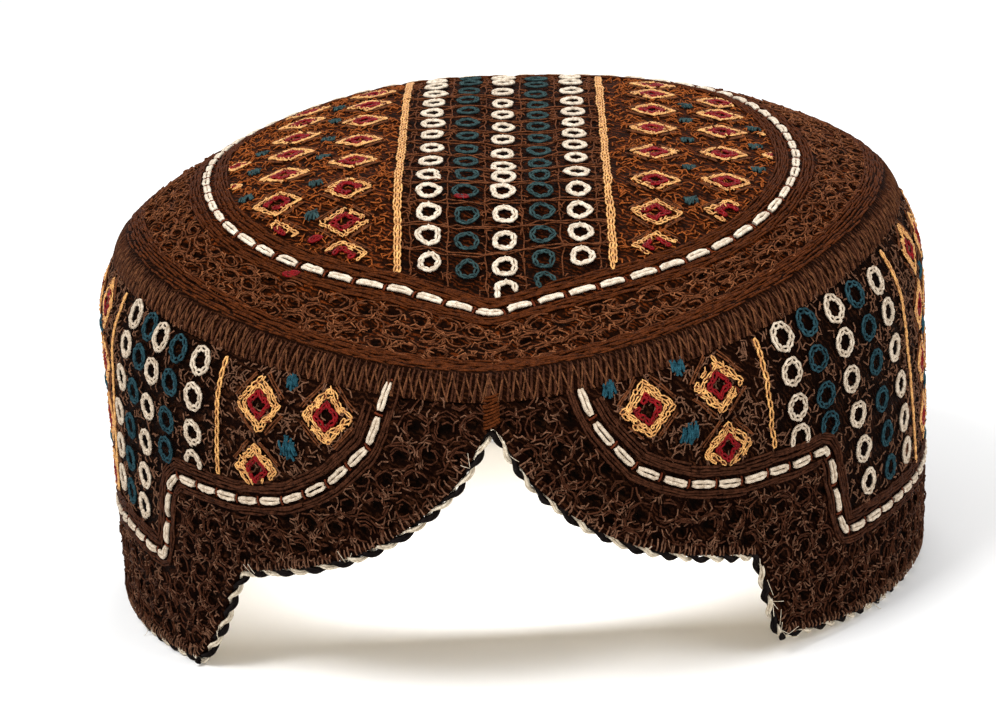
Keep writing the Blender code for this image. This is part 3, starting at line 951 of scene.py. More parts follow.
BAND_BOX = ((-HALF_GIRTH, 0.0), (HALF_GIRTH, 0.086))
fill = short_stitches(*scattered(19000, *BAND_BOX, band_ground, 7), on_wall, 0.25)
sewn("band_ground_stitches", fill, FINE_THREAD, WALL_LIGHT, "brown_openwork")
fill = short_stitches(*scattered(17000, *BAND_BOX, between_eyelets, 8), on_wall, 0.40)
sewn("band_net_stitches", fill, 0.16 * MM, WALL_LIGHT, "brown_openwork")

# %% [markdown]
# ## Borders and dashes
# Rows of stem stitch run along both sides of each frame: short brown stitches that lie nearly end to
# end, each one a little out of line with the last. One long strand would look like wire, so each
# stitch is a strand of its own. The frame itself is white: short bars of two thick strands side by
# side, tied down at both ends.

# %% Stem stitch
STEM_STEPS, STEM_PACE = 5, 1.8 * MM


def stem_lines(flat, lay, keep, low=0.0):
    """A row of stem stitches along a flat line whose points are STEM_PACE apart."""
    lines = []
    starts = range(wander.integers(1, 4), len(flat) - STEM_STEPS, STEM_STEPS - 1)
    for first in (0, *starts, len(flat) - STEM_STEPS):
        piece = flat[first:first + STEM_STEPS] + wander.normal(0, 0.13 * MM, 2)
        piece = piece + wander.normal(0, 0.05 * MM, piece.shape)
        if np.all(keep(piece[:, 0], piece[:, 1])):
            lift = np.array((-0.05, 0.26, 0.34, 0.26, -0.05)) + wander.uniform(-0.08, 0.08) + low
            lines.append(lay(piece[:, 0], piece[:, 1], lift * MM))
    return lines


def everywhere(x, y):
    return np.ones(np.shape(x), bool)


# %% Border threads of the crown
def oval_line(offset, count):
    """The crown's oval as a flat line, moved outwards by a length."""
    angles = np.linspace(-math.pi, math.pi, count)
    reach = oval_radius(angles) + offset
    return np.stack([reach * np.sin(angles) / OVAL_SQUEEZE, OVAL_CENTRE - reach * np.cos(angles)], axis=-1)


def crown_border_lines(offsets):
    lines = []
    for offset in offsets:
        lines += stem_lines(evenly(oval_line(offset * MM, 900), STEM_PACE), on_crown, everywhere)
    return lines


CROWN_BORDER = (-4.2, -3.7, -3.2, -2.7, -2.2, -1.7, 1.7, 2.2, 2.7, 3.2, 3.7)
sewn("crown_border_threads", crown_border_lines(CROWN_BORDER), STEM_THREAD, BROWN_DARK, "brown_embroidery")


# %% Border threads of the band
def band_border_area(run, height):
    return (height < rim_at(run) - OVERCAST_DROP + 0.6 * MM) & (height > cord_level(run) + 1.2 * MM)


def band_border_lines(offsets):
    lines = []
    for frame_line in (FRAME_LINE, FRAME_LINE_RIGHT):
        for offset in offsets:
            flat = beside(evenly(frame_line, STEM_PACE), offset * MM)
            lines += stem_lines(flat, on_wall, band_border_area)
    return lines


BAND_BORDER = (-2.7, -2.2, -1.7, 1.7, 2.2, 2.7, 3.2, 3.7)
sewn("band_border_threads", band_border_lines(BAND_BORDER), STEM_THREAD, WALL_BROWN, "brown_openwork")


# %% Dashes of the frames
DASH, DASH_GAP, DASH_PACE = 5.4 * MM, 1.15 * MM, 0.1 * MM
DASH_STRANDS = (-0.42, 0.42)
DASH_SPREAD = np.array((0.5, 0.95, 1.05, 0.95, 1.05, 0.95, 0.5))
DASH_LIFT = np.array((0.16, 0.42, 0.50, 0.48, 0.50, 0.42, 0.16)) * MM


def dash_lines(flat, lay):
    """White bars of two strands, one after another along a line, and the ties between them."""
    even = evenly(flat, DASH_PACE)
    count = round(len(even) / ((DASH + DASH_GAP) / DASH_PACE))
    gap = int(round(DASH_GAP / DASH_PACE))
    lines, ties = [], []
    for number in range(count):
        first = int(round(number * (len(even) - 1) / count)) + gap // 2
        length = int(round((number + 1) * (len(even) - 1) / count)) - gap // 2 - first - wander.integers(1, 7)
        bar = even[first:first + length + 1]
        aside = beside(bar, 1.0) - bar
        picked = np.linspace(0, length, len(DASH_LIFT)).astype(int)
        for side in DASH_STRANDS:
            spread = (side + wander.normal(0, 0.09)) * DASH_SPREAD * MM
            spots = bar[picked] + spread[:, None] * aside[picked]
            spots = spots + wander.normal(0, 0.05 * MM, spots.shape)
            lines.append(lay(spots[:, 0], spots[:, 1], DASH_LIFT + wander.normal(0, 0.04 * MM, len(DASH_LIFT))))
        end = bar[-1] + (bar[-1] - bar[-2]) / np.linalg.norm(bar[-1] - bar[-2]) * DASH_GAP / 2
        across = aside[-1]
        tie = np.stack([end - across * 0.9 * MM, end, end + across * 0.9 * MM])
        ties.append(lay(tie[:, 0], tie[:, 1], np.array((0.0, 0.35, 0.0)) * MM))
    return lines, ties


crown_dashes, crown_ties = dash_lines(oval_line(0.0, 721), on_crown)
band_dashes, band_ties = [], []
for frame_line in (FRAME_LINE, FRAME_LINE_RIGHT):
    some_dashes, some_ties = dash_lines(frame_line, on_wall)
    band_dashes += some_dashes
    band_ties += some_ties
sewn("crown_dashes", crown_dashes, 0.40 * MM, WHITE, "brown_embroidery", sides=6)
sewn("band_dashes", band_dashes, 0.40 * MM, WALL_WHITE, "brown_openwork", sides=6)
sewn("dash_ties", crown_ties + band_ties, 0.24 * MM, TIE_BROWN, "brown_openwork")

# %% [markdown]
# ## Chain-stitched rings
# A ring is eight or nine links of chain stitch worked round a small hole, with one pointed tie. A
# torus would be too smooth for it, so each link is made as it is sewn, a flat teardrop of thread.
# Columns of white and teal rings take turns across each strip, and none of the rows is quite
# straight, so each ring has its own place in a table.

# %% Links and rings
LINK_TURNS = np.linspace(0, 2 * math.pi, 6, endpoint=False) + 0.4


print("a link has", len(LINK_TURNS), "points")


def link(start, end, width):
    """One teardrop link of chain stitch between two flat places."""
    along = end - start
    length = math.hypot(*along)
    along = along / length
    across = np.array((-along[1], along[0]))
    travel = 0.5 - 0.5 * np.cos(LINK_TURNS)
    side = 0.5 * width * np.sin(LINK_TURNS) * (0.6 + 0.4 * travel)
    return start + travel[:, None] * length * 1.12 * along + side[:, None] * across


def ring_links(middle, half_across, half_along, turn, links, rough, width):
    """Links round an oval, as flat outlines, with the oval turned in the plane of the cloth."""
    steps = np.linspace(0, 2 * math.pi, links, endpoint=False) - math.pi / 2
    cosine, sine = math.cos(turn), math.sin(turn)
    oval = np.stack([half_across * np.cos(steps), half_along * np.sin(steps)], axis=-1)
    oval += wander.normal(0, rough * MM, oval.shape)
    oval = oval @ np.array(((cosine, sine), (-sine, cosine))) + middle
    widths = wander.uniform(0.9, 1.15, links) * width * MM
    return [link(oval[i], oval[(i + 1) % links], widths[i]) for i in range(links)]


def laid(outline, lay, lift=0.32):
    """A closed flat outline laid on the cloth, its crown a little higher than its ends."""
    rise = (lift + 0.10 * np.abs(np.sin(LINK_TURNS))) * MM
    return lay(outline[:, 0], outline[:, 1], rise)


def ring(lines, ties, middle, turn, lay, keep, tail, size, links=9, rough=0.12, width=1.15):
    links = ring_links(np.array(middle), size[0] * MM, size[1] * MM, turn, links, rough, width)
    kept = [outline for outline in links if keep(*outline.mean(axis=0))]
    lines += [laid(outline, lay) for outline in kept]
    downwards = np.array((-math.sin(turn), math.cos(turn))) * tail
    foot = np.array(middle) + downwards * size[1] * MM
    if keep(*foot):
        stub = np.stack([foot, foot + downwards * 0.45 * MM, foot + downwards * 0.9 * MM])
        spots = lay(stub[:, 0], stub[:, 1], np.array((0.5, 0.42, 0.1)) * MM)
        ties.append(np.column_stack([spots, (1.1, 0.9, 0.45)]))


# %% Rings of the crown
# Columns of the crown's strip: (place across, whether the thread is white, rows from the front)
CROWN_COLUMNS = (
    (-15.5, True, (-60.8, -52.4, -45.0, -37.5, -30.0, -20.3, -11.0, -0.6, 8.3, 17.0, 25.3, 33.8, 43.2, 52.0)),
    (-7.76, False, (-63.2, -54.6, -46.2, -37.6, -30.0, -20.8, -12.0, -1.8, 8.6, 18.3, 27.3, 36.0, 46.0, 54.5)),
    (0.0, True, (-69.6, -62.7, -54.6, -46.0, -37.5, -31.0, -24.6, -15.2, -5.0, 4.8, 14.4, 23.6, 34.0, 45.0,
                 53.0)),
    (7.76, False, (-67.2, -60.2, -52.5, -44.5, -36.7, -30.0, -21.8, -13.0, -3.6, 5.4, 13.8, 22.2, 31.6, 42.0,
                   51.0)),
    (15.5, True, (-59.4, -51.6, -44.0, -36.0, -27.4, -17.4, -8.4, 0.6, 8.8, 17.2, 25.8, 35.2, 45.5, 54.5)),
)

# A ring is begun where its middle lies at least this far inside the frame
RING_MARGIN = 2.0 * MM
white_rings, white_ties, teal_rings, teal_ties = [], [], [], []


def in_crown_frame(x, y):
    return inside_oval(x, y) > 4.5 * MM


for across, is_white, rows in CROWN_COLUMNS:
    for y in np.array(rows) * MM:
        middle = (STRIP_MIDDLE + across * MM - y * STRIP_LEAN, y)
        if inside_oval(*middle) > RING_MARGIN:
            target = (white_rings, white_ties) if is_white else (teal_rings, teal_ties)
            ring(*target, middle, STRIP_LEAN, on_crown, in_crown_frame, 1.0, (2.2, 2.5), 8, 0.22, 0.9)

sewn("crown_white_rings", white_rings, 0.36 * MM, WHITE, "brown_embroidery", closed=True)
sewn("crown_teal_rings", teal_rings, 0.28 * MM, TEAL_DARK, "brown_embroidery", closed=True)
sewn("crown_white_ring_ties", white_ties, TIE_THREAD, WHITE, "brown_embroidery")

# %% Rings of the band
# Columns of rings at the front: (whether white, the run of each ring, the height of each ring)
FRONT_COLUMNS = (
    (True, (67.2, 67.5, 68.5, 69.0), (66.0, 59.0, 51.5, 45.0)),
    (False, (75.0, 75.6, 77.2, 78.2), (67.2, 60.0, 52.0, 45.6)),
    (True, (84.0, 84.6, 86.2, 88.2, 90.2, 92.2), (68.0, 61.0, 53.0, 45.0, 37.2, 29.6)),
    (False, (92.5, 94.2, 96.6, 98.8, 101.0, 102.6), (69.0, 61.8, 54.0, 45.4, 37.4, 29.6)),
    (True, (102.0, 103.6, 106.4, 109.4, 111.4, 113.0), (69.8, 62.8, 54.4, 45.8, 37.8, 30.2)),
    (True, (-71.0, -72.2, -73.4, -74.0), (67.0, 59.8, 52.0, 45.4)),
    (False, (-79.0, -80.4, -83.0, -84.4), (68.2, 61.3, 53.0, 46.4)),
    (True, (-86.2, -87.8, -91.0, -93.8, -96.0, -98.2), (69.4, 62.3, 54.2, 46.0, 38.2, 31.0)),
    (False, (-91.6, -94.0, -98.2, -102.2, -104.6, -106.2), (70.6, 64.2, 56.0, 47.6, 39.8, 32.2)),
    (True, (-99.6, -101.4, -105.4, -110.0, -112.0, -113.4), (71.8, 65.4, 57.4, 48.8, 41.0, 33.4)),
)
BACK_COLUMNS = ((187.5, True), (196.2, False), (204.9, True), (213.6, False), (222.3, True))
BACK_RING_DROP, BACK_RING_PITCH, BACK_RING_ROWS = 8.0, 8.0, 7
RING_SPOTS = [(white, run * MM, height * MM) for white, runs, heights in FRONT_COLUMNS
              for run, height in zip(runs, heights)]
for run, white in BACK_COLUMNS:
    for place in (-run * MM, run * MM):
        RING_SPOTS += [(white, place, float(rim_at(place)) - (BACK_RING_DROP + BACK_RING_PITCH * row) * MM)
                       for row in range(BACK_RING_ROWS)]
band_white, band_white_ties, band_teal, band_teal_ties = [], [], [], []


def in_band_frame(run, height):
    return (inside_frame(run, height) > FRAME_MARGIN) & (height < rim_at(run) - 3.0 * MM)


for is_white, run, height in RING_SPOTS:
    if inside_frame(run, height) > RING_MARGIN:
        target = (band_white, band_white_ties) if is_white else (band_teal, band_teal_ties)
        lean = 0.22 * np.sign(run) if abs(run) < 0.15 else 0.0
        ring(*target, (run, height), lean, on_wall, in_band_frame, -1.0, (2.45, 2.35))

sewn("band_white_rings", band_white, 0.33 * MM, WALL_WHITE, "brown_openwork", closed=True)
sewn("band_teal_rings", band_teal, 0.29 * MM, TEAL_RING, "brown_openwork", closed=True)
sewn("band_white_ring_ties", band_white_ties, TIE_THREAD, WALL_WHITE, "brown_openwork")

# %% [markdown]
# ## Lines of chain stitch
# A chain in gold divides the strips of rings from the fields of diamonds. It is made of the same
# links as a ring, laid one after another. Thin brown threads cross the crown's strip between the
# rings, and short brown stitches fill the ground between the columns.

# %% Gold chains
def chain(flat, pitch, width, lay, keep):
    """Links of chain stitch, one after another along a flat line."""
    knots = evenly(flat, pitch)
    knots = knots + wander.normal(0, 0.14 * MM, knots.shape)
    lines = []
    for start, end in zip(knots[:-1], knots[1:]):
        middle = (start + end) / 2
        if keep(*middle):
            lines.append(laid(link(start, end, width), lay, 0.26))
    return lines


gold_lines = []
for side in (-1, 1):
    ys = np.linspace(-72, 56, 40) * MM
    flat = np.stack([STRIP_MIDDLE + side * STRIP_HALF - ys * STRIP_LEAN, ys], axis=-1)
    for offset in (-0.38, 0.38):
        gold_lines += chain(beside(flat, offset * MM), 2.1 * MM, 0.8 * MM, on_crown, in_crown_frame)
# Gold lines on the band: (run at the top, run 35 mm lower)
GOLD_COLUMNS = ((59.9, 62.2), (109.4, 118.0), (-63.2, -67.2), (-108.2, -118.5),
                (179.4, 179.4), (230.6, 230.6), (-179.4, -179.4), (-230.6, -230.6))
for top_run, low_run in GOLD_COLUMNS:
    drops = np.linspace(5.2, 62, 30)
    runs = (top_run + (low_run - top_run) * (drops - 5.2) / 35) * MM
    flat = np.stack([runs, rim_at(runs) - drops * MM], axis=-1)
    gold_lines += chain(flat, 2.0 * MM, 1.25 * MM, on_wall, in_band_frame)
sewn("gold_chains", gold_lines, 0.24 * MM, GOLD, "brown_embroidery", closed=True)


# %% Threads that cross the crown's strip
def cross_threads():
    lines = []
    for across in (-19.4, -11.6, -3.9, 3.9, 11.6, 19.4):
        ys = np.linspace(-74, 58, 110) * MM
        xs = STRIP_MIDDLE + across * MM - ys * STRIP_LEAN + wobble(len(ys), 0.18 * MM, 2)
        keep = in_crown_frame(xs, ys)
        spots = on_crown(xs, ys, 0.05 * MM + wobble(len(ys), 0.10 * MM, 2))
        lines += [spots[a:b] for a, b in unbroken(keep)]
    column_places = [column[0] * MM for column in CROWN_COLUMNS]
    for gap in range(11):
        between = []
        for _, _, rows in CROWN_COLUMNS:
            first = next(place for place in range(len(rows)) if rows[place] > -64)
            between.append((rows[first + gap] + rows[first + gap + 1]) / 2 * MM)
        for shift in (-0.3, 0.3):
            xs = np.linspace(-STRIP_HALF, STRIP_HALF, 44)
            ys = np.interp(xs, column_places, between) + shift * MM + wobble(44, 0.30 * MM, 2)
            xs = STRIP_MIDDLE + xs - ys * STRIP_LEAN
            keep = in_crown_frame(xs, ys)
            spots = on_crown(xs, ys, 0.30 * MM + wobble(44, 0.15 * MM, 2))
            lines += [spots[a:b] for a, b in unbroken(keep)]
    return lines


sewn("crown_cross_threads", cross_threads(), FINE_THREAD, BROWN, "brown_embroidery")


# %% Ground between the rings
def between_columns(x, y):
    """The brown ground between the columns of the crown's rings."""
    across = strip_across(x, y)
    from_column = np.min([np.abs(across - column[0] * MM) for column in CROWN_COLUMNS], axis=0)
    return in_crown_frame(x, y) & (np.abs(across) < STRIP_HALF) & (from_column > 2.9 * MM)


def strip_ground(run, height):
    """The brown ground of the band's strips, outside its rings."""
    nearest = np.full(np.shape(run), 1.0)
    for _, ring_run, ring_height in RING_SPOTS:
        nearest = np.minimum(nearest, np.hypot(run - ring_run, height - ring_height))
    return in_band_frame(run, height) & in_ring_strip(run) & (nearest > 3.3 * MM)


fill = short_stitches(*scattered(9000, *CROWN_BOX, between_columns, 9), on_crown, 0.15)
sewn("crown_strip_stitches", fill, 0.16 * MM, BROWN, "brown_embroidery")
fill = short_stitches(*scattered(14000, *BAND_BOX, strip_ground, 10), on_wall, 0.20)
sewn("band_strip_stitches", fill, FINE_THREAD, WALL_LIGHT, "brown_openwork")

# %% [markdown]
# ## Diamonds
# Each diamond is worked from the outside in: one or two rows of gold chain, one row of red, and a
# bare dark centre. Small teal lozenges sit where four diamonds meet. Where the frame cuts through a
# diamond, only the links inside the frame are worked.

# %% Diamond stitches
TIPS = np.array(((0, -1), (1, 0), (0, 1), (-1, 0), (0, -1)))
# Rows of a diamond from the outside: (share of its size, links on each edge, width of a link)
FRONT_ROWS = (((0.91, 5, 0.95), (0.70, 4, 0.80)), (0.43, 3, 1.0))
SIDE_ROWS = (((0.90, 4, 1.0), (0.70, 3, 0.85)), (0.43, 2, 1.1))
CROWN_ROWS = (((0.88, 5, 0.95),), (0.47, 3, 1.2))
crown_gold, band_gold, loose_gold, dark_flecks = [], [], [], []
red_links, teal_bars, crown_teal_bars, brown_bars = [], [], [], []


def diamond_row(middle, half, share, links, width, lay, keep):
    tips = TIPS * half * share * MM + np.array(middle)
    found = []
    for edge in range(4):
        knots = np.linspace(tips[edge], tips[edge + 1], links + 1)
        knots = knots + wander.normal(0, 0.22 * MM, knots.shape)
        for start, end in zip(knots[:-1], knots[1:]):
            if keep(*((start + end) / 2)) and wander.random() > 0.06:
                found.append(laid(link(start, end, width * wander.uniform(0.6, 1.25) * MM), lay, 0.28))
    return found


def flecks(middle, half, near, far, count, lay, keep):
    """Short loose stitches that lie across a band of a diamond, from one share of its size to another."""
    found = []
    for _ in range(count):
        turn, share = wander.uniform(0, 2 * math.pi), wander.uniform(near, far)
        reach = share / (abs(math.cos(turn)) + abs(math.sin(turn)))
        spot = np.array(middle) + np.array(half) * MM * reach * np.array((math.cos(turn), math.sin(turn)))
        lean, length = wander.uniform(0, math.pi), wander.uniform(0.4, 0.8) * MM
        step = length * np.array((math.cos(lean), math.sin(lean)))
        if keep(*spot):
            line = np.stack([spot - step, spot + wander.normal(0, 0.12 * MM, 2), spot + step])
            found.append(lay(line[:, 0], line[:, 1], np.array((0.25, 0.62, 0.25)) * MM))
    return found


def diamond(middle, half, rows, lay, keep, gold):
    gold_rows, (share, links, width) = rows
    for gold_share, gold_count, gold_width in gold_rows:
        gold.extend(diamond_row(middle, half, gold_share, gold_count, gold_width, lay, keep))
    loose = 22 if rows is FRONT_ROWS else 14
    loose_gold.extend(flecks(middle, half, 0.64, 0.98, loose, lay, keep))
    dark_flecks.extend(flecks(middle, half, 0.38, 1.0, loose // 2, lay, keep))
    red_links.extend(diamond_row(middle, half, share, links, width, lay, keep))
    for size in (1.20, 1.32):
        for edge in range(4):
            flat = TIPS[edge:edge + 2] * size * np.array(half) * MM + np.array(middle)
            flat = evenly(flat, 2.2 * MM)[1:-1]
            flat = flat + wander.normal(0, 0.12 * MM, flat.shape)
            keep_here = keep(flat[:, 0], flat[:, 1])
            spots = lay(flat[:, 0], flat[:, 1], 0.18 * MM)
            brown_bars.extend(spots[a:b] for a, b in unbroken(keep_here))


def lozenge(middle, lay, keep, target, size=1.0):
    """A small knot of satin stitch: bars that cross one another a little."""
    if not keep(*middle):
        return
    for across in np.linspace(-1.4, 1.4, 8):
        half = (2.1 - 0.75 * abs(across)) * wander.uniform(0.8, 1.1)
        lean = wander.uniform(-0.5, 0.5)
        along = np.linspace(-half, half, 4)
        x = middle[0] + (across + lean * along + wander.normal(0, 0.1, 4)) * MM * size
        target.append(lay(x, middle[1] + along * MM * size, np.array((0.05, 0.42, 0.42, 0.05)) * MM))


# %% Fields of the crown
# Crown fields: (place across, half width, places along in millimetres)
CROWN_DIAMONDS = (
    (-31.0, 5.6, (-57.5, -46.8, -34.6, -17.4, -1.8, 14.6, 28.6, 42.0)),
    (-45.6, 5.6, (-48.6, -37.2, -21.6, -6.0, 8.0, 22.3, 35.5)),
    (-57.6, 3.2, (-22.2, -5.6)),
    (33.2, 5.6, (-55.8, -44.0, -30.6, -11.7, 6.0, 20.3, 34.5, 46.0)),
    (48.2, 5.6, (-42.5, -29.2, -10.7, 6.0, 19.5, 31.0)),
    (58.4, 2.0, (-9.5, 7.0)),
)
CROWN_LOZENGES = (
    (-38.0, (-43.4, -30.4, -11.7, 2.8, 18.5, 31.5)), (-52.8, (-31.4, -13.7, 0.8)),
    (40.6, (-38.6, -20.8, -1.5, 13.5, 26.0)), (55.2, (-19.4, -3.0, 11.0)),
)
for across, half, rows in CROWN_DIAMONDS:
    for y in np.array(rows) * MM:
        diamond((across * MM, y), (half, 0.90 * half), CROWN_ROWS, on_crown, crown_field, crown_gold)
for across, rows in CROWN_LOZENGES:
    for y in np.array(rows) * MM:
        lozenge((across * MM, y), on_crown, in_crown_frame, crown_teal_bars, 0.85)

print(sum(len(rows) for _, _, rows in CROWN_DIAMONDS), "diamonds on the crown")

# %% Fields of the band
# Band fields at the front: (run, height) of the diamonds, and (run, height, size) of the lozenges
FRONT_DIAMONDS = ((31.9, 58.5), (48.6, 60.2), (49.6, 47.4), (-35.3, 60.0), (-52.4, 60.8), (-54.2, 47.4))
FRONT_LOZENGES = ((40.7, 52.2, 1.25), (24.4, 63.2, 0.8), (40.3, 65.0, 0.9), (-45.0, 53.0, 1.25),
                  (-44.5, 65.6, 0.8))
# Band fields at the sides and back, as runs: (first diamond, last diamond, how many columns, lean)
SIDE_FIELDS = ((124.4, 171.0, 4, 0.16), (-120.4, -171.0, 4, 0.10), (240.9, 342.5, 6, 0.0))
SIDE_DROPS = (10.6, 23.5, 36.4, 49.3)


def band_field(run, height):
    return in_band_frame(run, height) & ~in_ring_strip(run)


for run, height in FRONT_DIAMONDS:
    diamond((run * MM, height * MM), (6.2, 5.7), FRONT_ROWS, on_wall, band_field, band_gold)
for run, height, size in FRONT_LOZENGES:
    lozenge((run * MM, height * MM), on_wall, band_field, teal_bars, size)
for first, last, count, lean in SIDE_FIELDS:
    for drop in SIDE_DROPS:
        runs = np.linspace(first + math.copysign(lean, first) * drop, last, count)
        for column, run in enumerate(runs):
            height = float(rim_at(run * MM)) - (drop + 1.5 * (column % 2)) * MM
            diamond((run * MM, height), (5.9, 5.7), SIDE_ROWS, on_wall, band_field, band_gold)
            if column < count - 1:
                middle = (run + runs[column + 1]) / 2 * MM
                lozenge((middle, height - 6.4 * MM), on_wall, band_field, teal_bars)
sewn("crown_gold_diamonds", crown_gold, 0.18 * MM, GOLD, "brown_embroidery", closed=True)
sewn("band_gold_diamonds", band_gold, 0.18 * MM, GOLD, "brown_openwork", closed=True)

# %% Stray spots, and the rest of the diamonds' threads
# Stray spots seen on the crown: (place across, place along, whether red)
STRAY_SPOTS = ((-36.8, -51.5, True), (-41.2, -61.0, True), (-7.0, -39.8, True), (57.7, -10.5, False))
for across, along, is_red in STRAY_SPOTS:
    spot = (across * MM, along * MM)
    if is_red:
        outlines = ring_links(np.array(spot), 1.3 * MM, 0.6 * MM, 0, 4, 0.3, 0.8)
        red_links.extend(laid(outline, on_crown) for outline in outlines)
    else:
        loose_gold.extend(flecks(spot, (1.5, 1.5), 0.2, 1.0, 8, on_crown, in_crown_frame))
sewn("red_diamonds", red_links, 0.30 * MM, RED, "brown_embroidery", closed=True)
sewn("loose_gold_stitches", loose_gold, FINE_THREAD, GOLD, "brown_embroidery")
sewn("dark_flecks", dark_flecks, 0.15 * MM, TIE_BROWN, "brown_embroidery")
sewn("crown_teal_lozenges", crown_teal_bars, STEM_THREAD, TEAL_DARK, "brown_embroidery")
sewn("teal_lozenges", teal_bars, 0.30 * MM, TEAL, "brown_openwork")
sewn("brown_lattice", brown_bars, 0.20 * MM, BROWN, "brown_embroidery")

# %% [markdown]
# ## The rim seam
# The crown and the band meet in a thick overcast seam. Its ridge is a narrow sheet bent over the
# rim, joined into a ring, and slanted stitches wrap over it from the crown down on to the band. The
# stitches alone would leave gaps, and the ridge alone would have no thread.

# %% Seam ridge
SEAM_ROWS = 8


def seam_spot(run, share, lift):
    """Across the seam: share 0 lies on the band below the rim and share 1 on the crown inside it."""
    angle = np.interp(around(run), RUNS, ANGLES)
    down = np.clip(1 - share / 0.55, 0, 1)
    in_crown = np.clip((share - 0.55) / 0.45, 0, 1)
    wall = on_wall(run, rim_height(angle) - down * SEAM_DROP, lift)
    top = on_crown(*crown_spot(angle, 1.0, 0.1 * MM + in_crown * 3.4 * MM), lift)
    blend = np.clip((share - 0.45) / 0.2, 0, 1)[..., None]
    return wall * (1 - blend) + top * blend


def lay_seam(u, v):
    run = HALF_GIRTH * (1 + u)
    share = 0.5 + 0.5 * v
    swell = np.sin(math.pi * share)
    places = seam_spot(run, share, (0.10 + 0.28 * swell) * MM)
    return places, np.zeros(len(u))


def closed_ring(piece):
    """Joins the two ends of a sheet that runs once round the head."""
    joined = bmesh.new()
    joined.from_mesh(piece.data)
    bmesh.ops.remove_doubles(joined, verts=joined.verts, dist=0.01 * MM)
    joined.to_mesh(piece.data)
    joined.free()


# The seam's pit values are all zero, so its near-black pit colour, painted shade, never shows.
SEAM_CLOTH = cloth_material("seam_thread_ground", (16, 3, 0), (58, 30, 14), (6, 2, 1), 420.0, 4.0)
seam_ridge = cloth_piece("rim_seam_ridge", 360, SEAM_ROWS, lay_seam, SEAM_CLOTH, 1.8 * MM)
closed_ring(seam_ridge)
dressed(seam_ridge, "overcast_thread", "rim_seam")

# %% Overcast stitches
OVERCAST_PITCH, OVERCAST_POINTS = 1.25 * MM, 5


def overcast_lines(pitch, slant, low, high, lift, spread):
    lines = []
    for run in np.arange(0, 2 * HALF_GIRTH, pitch):
        first, last = low + wander.uniform(-0.05, 0.05), high + wander.uniform(-0.05, 0.05)
        share = np.linspace(first, last, OVERCAST_POINTS)
        runs = run + slant * (share - 0.5) + wander.normal(0, spread)
        runs = runs + wander.normal(0, 0.05 * MM, OVERCAST_POINTS)
        rise = (0.25 + lift * np.sin(math.pi * np.clip(share, 0, 1))) * MM
        rise[0] = rise[-1] = 0.05 * MM
        lines.append(seam_spot(runs, share, rise))
    return lines


overcast = overcast_lines(OVERCAST_PITCH, 1.2 * MM, 0.0, 0.62, 0.30, 0.14 * MM)
sewn("overcast_stitches", overcast, 0.30 * MM, WALL_BROWN, "overcast_thread")
overcast = overcast_lines(OVERCAST_PITCH * 2.0, -3.4 * MM, -0.02, 0.60, 0.42, 0.30 * MM)
overcast += overcast_lines(OVERCAST_PITCH * 2.0, 2.4 * MM, 0.0, 0.58, 0.50, 0.30 * MM)
sewn("overcast_light_stitches", overcast, 0.21 * MM, SEAM_BROWN, "overcast_thread")


# %% Border of the rim
def rim_border_lines():
    """Rows of stem stitch that run round the crown just inside the seam."""
    angles = np.linspace(-math.pi, math.pi, 900)
    lines = []
    for inset in (0.9, 1.4, 1.9, 2.4, 2.9, 3.4, 3.9, 4.4):
        flat = np.stack(crown_spot(angles, 1.0, inset * MM), axis=-1)
        lines += stem_lines(evenly(flat, STEM_PACE), on_crown, everywhere, 0.08)
    return lines


sewn("rim_border_threads", rim_border_lines(), STEM_THREAD, BROWN_DARK, "overcast_thread")

# %% [markdown]
# ## The front seam
# Above the arch the two ends of the band are drawn together by a short column of satin stitch. Level
# strands are laid close together over a low rounded ridge, as a needle would lay them.

# %% Front seam
SEAM_HALF = 1.5 * MM
SEAM_LOW, SEAM_TOP = float(cord_level(0.0)), float(rim_at(0.0))


def lay_front_seam(u, v):
    low, top = SEAM_LOW + 0.8 * MM, SEAM_TOP - 2.0 * MM
    run = u * SEAM_HALF
    height = low + (top - low) * (0.5 + 0.5 * v)
    rise = 0.55 * MM * np.sqrt(np.clip(1 - u * u, 0, 1)) - 0.05 * MM
    return on_wall(run, height, rise), np.zeros(len(u))


# %% Satin stitches of the front seam
front_ridge = cloth_piece("front_seam_ridge", 12, 20, lay_front_seam, SEAM_CLOTH, 1.6 * MM)
dressed(front_ridge, "overcast_thread", "front_seam")
satin = []
for height in np.arange(SEAM_LOW + 1.2 * MM, SEAM_TOP - 3.2 * MM, 0.55 * MM):
    share = np.linspace(-1, 1, 6)
    rise = 0.05 * MM + 0.75 * MM * np.sqrt(np.clip(1 - share**2, 0, 1))
    satin.append(on_wall(share * SEAM_HALF, height + wander.uniform(0.1, 0.6) * MM * share, rise))
sewn("front_satin_stitches", satin, 0.28 * MM, BROWN_DARK, "overcast_thread", sides=6)

# %% [markdown]
# ## The edge cord
# The whole lower edge carries a cord laid from two yarns, one black and one white. A laid cord is a
# pair of helices half a turn apart, and each yarn is itself three strands twisted the other way.
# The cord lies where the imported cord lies, and is flattened where it rests on the floor.

# %% Cord centre line
NEARBY = 0.2 * MM


def length_of(line):
    return np.linalg.norm(np.diff(line, axis=0), axis=1).sum()


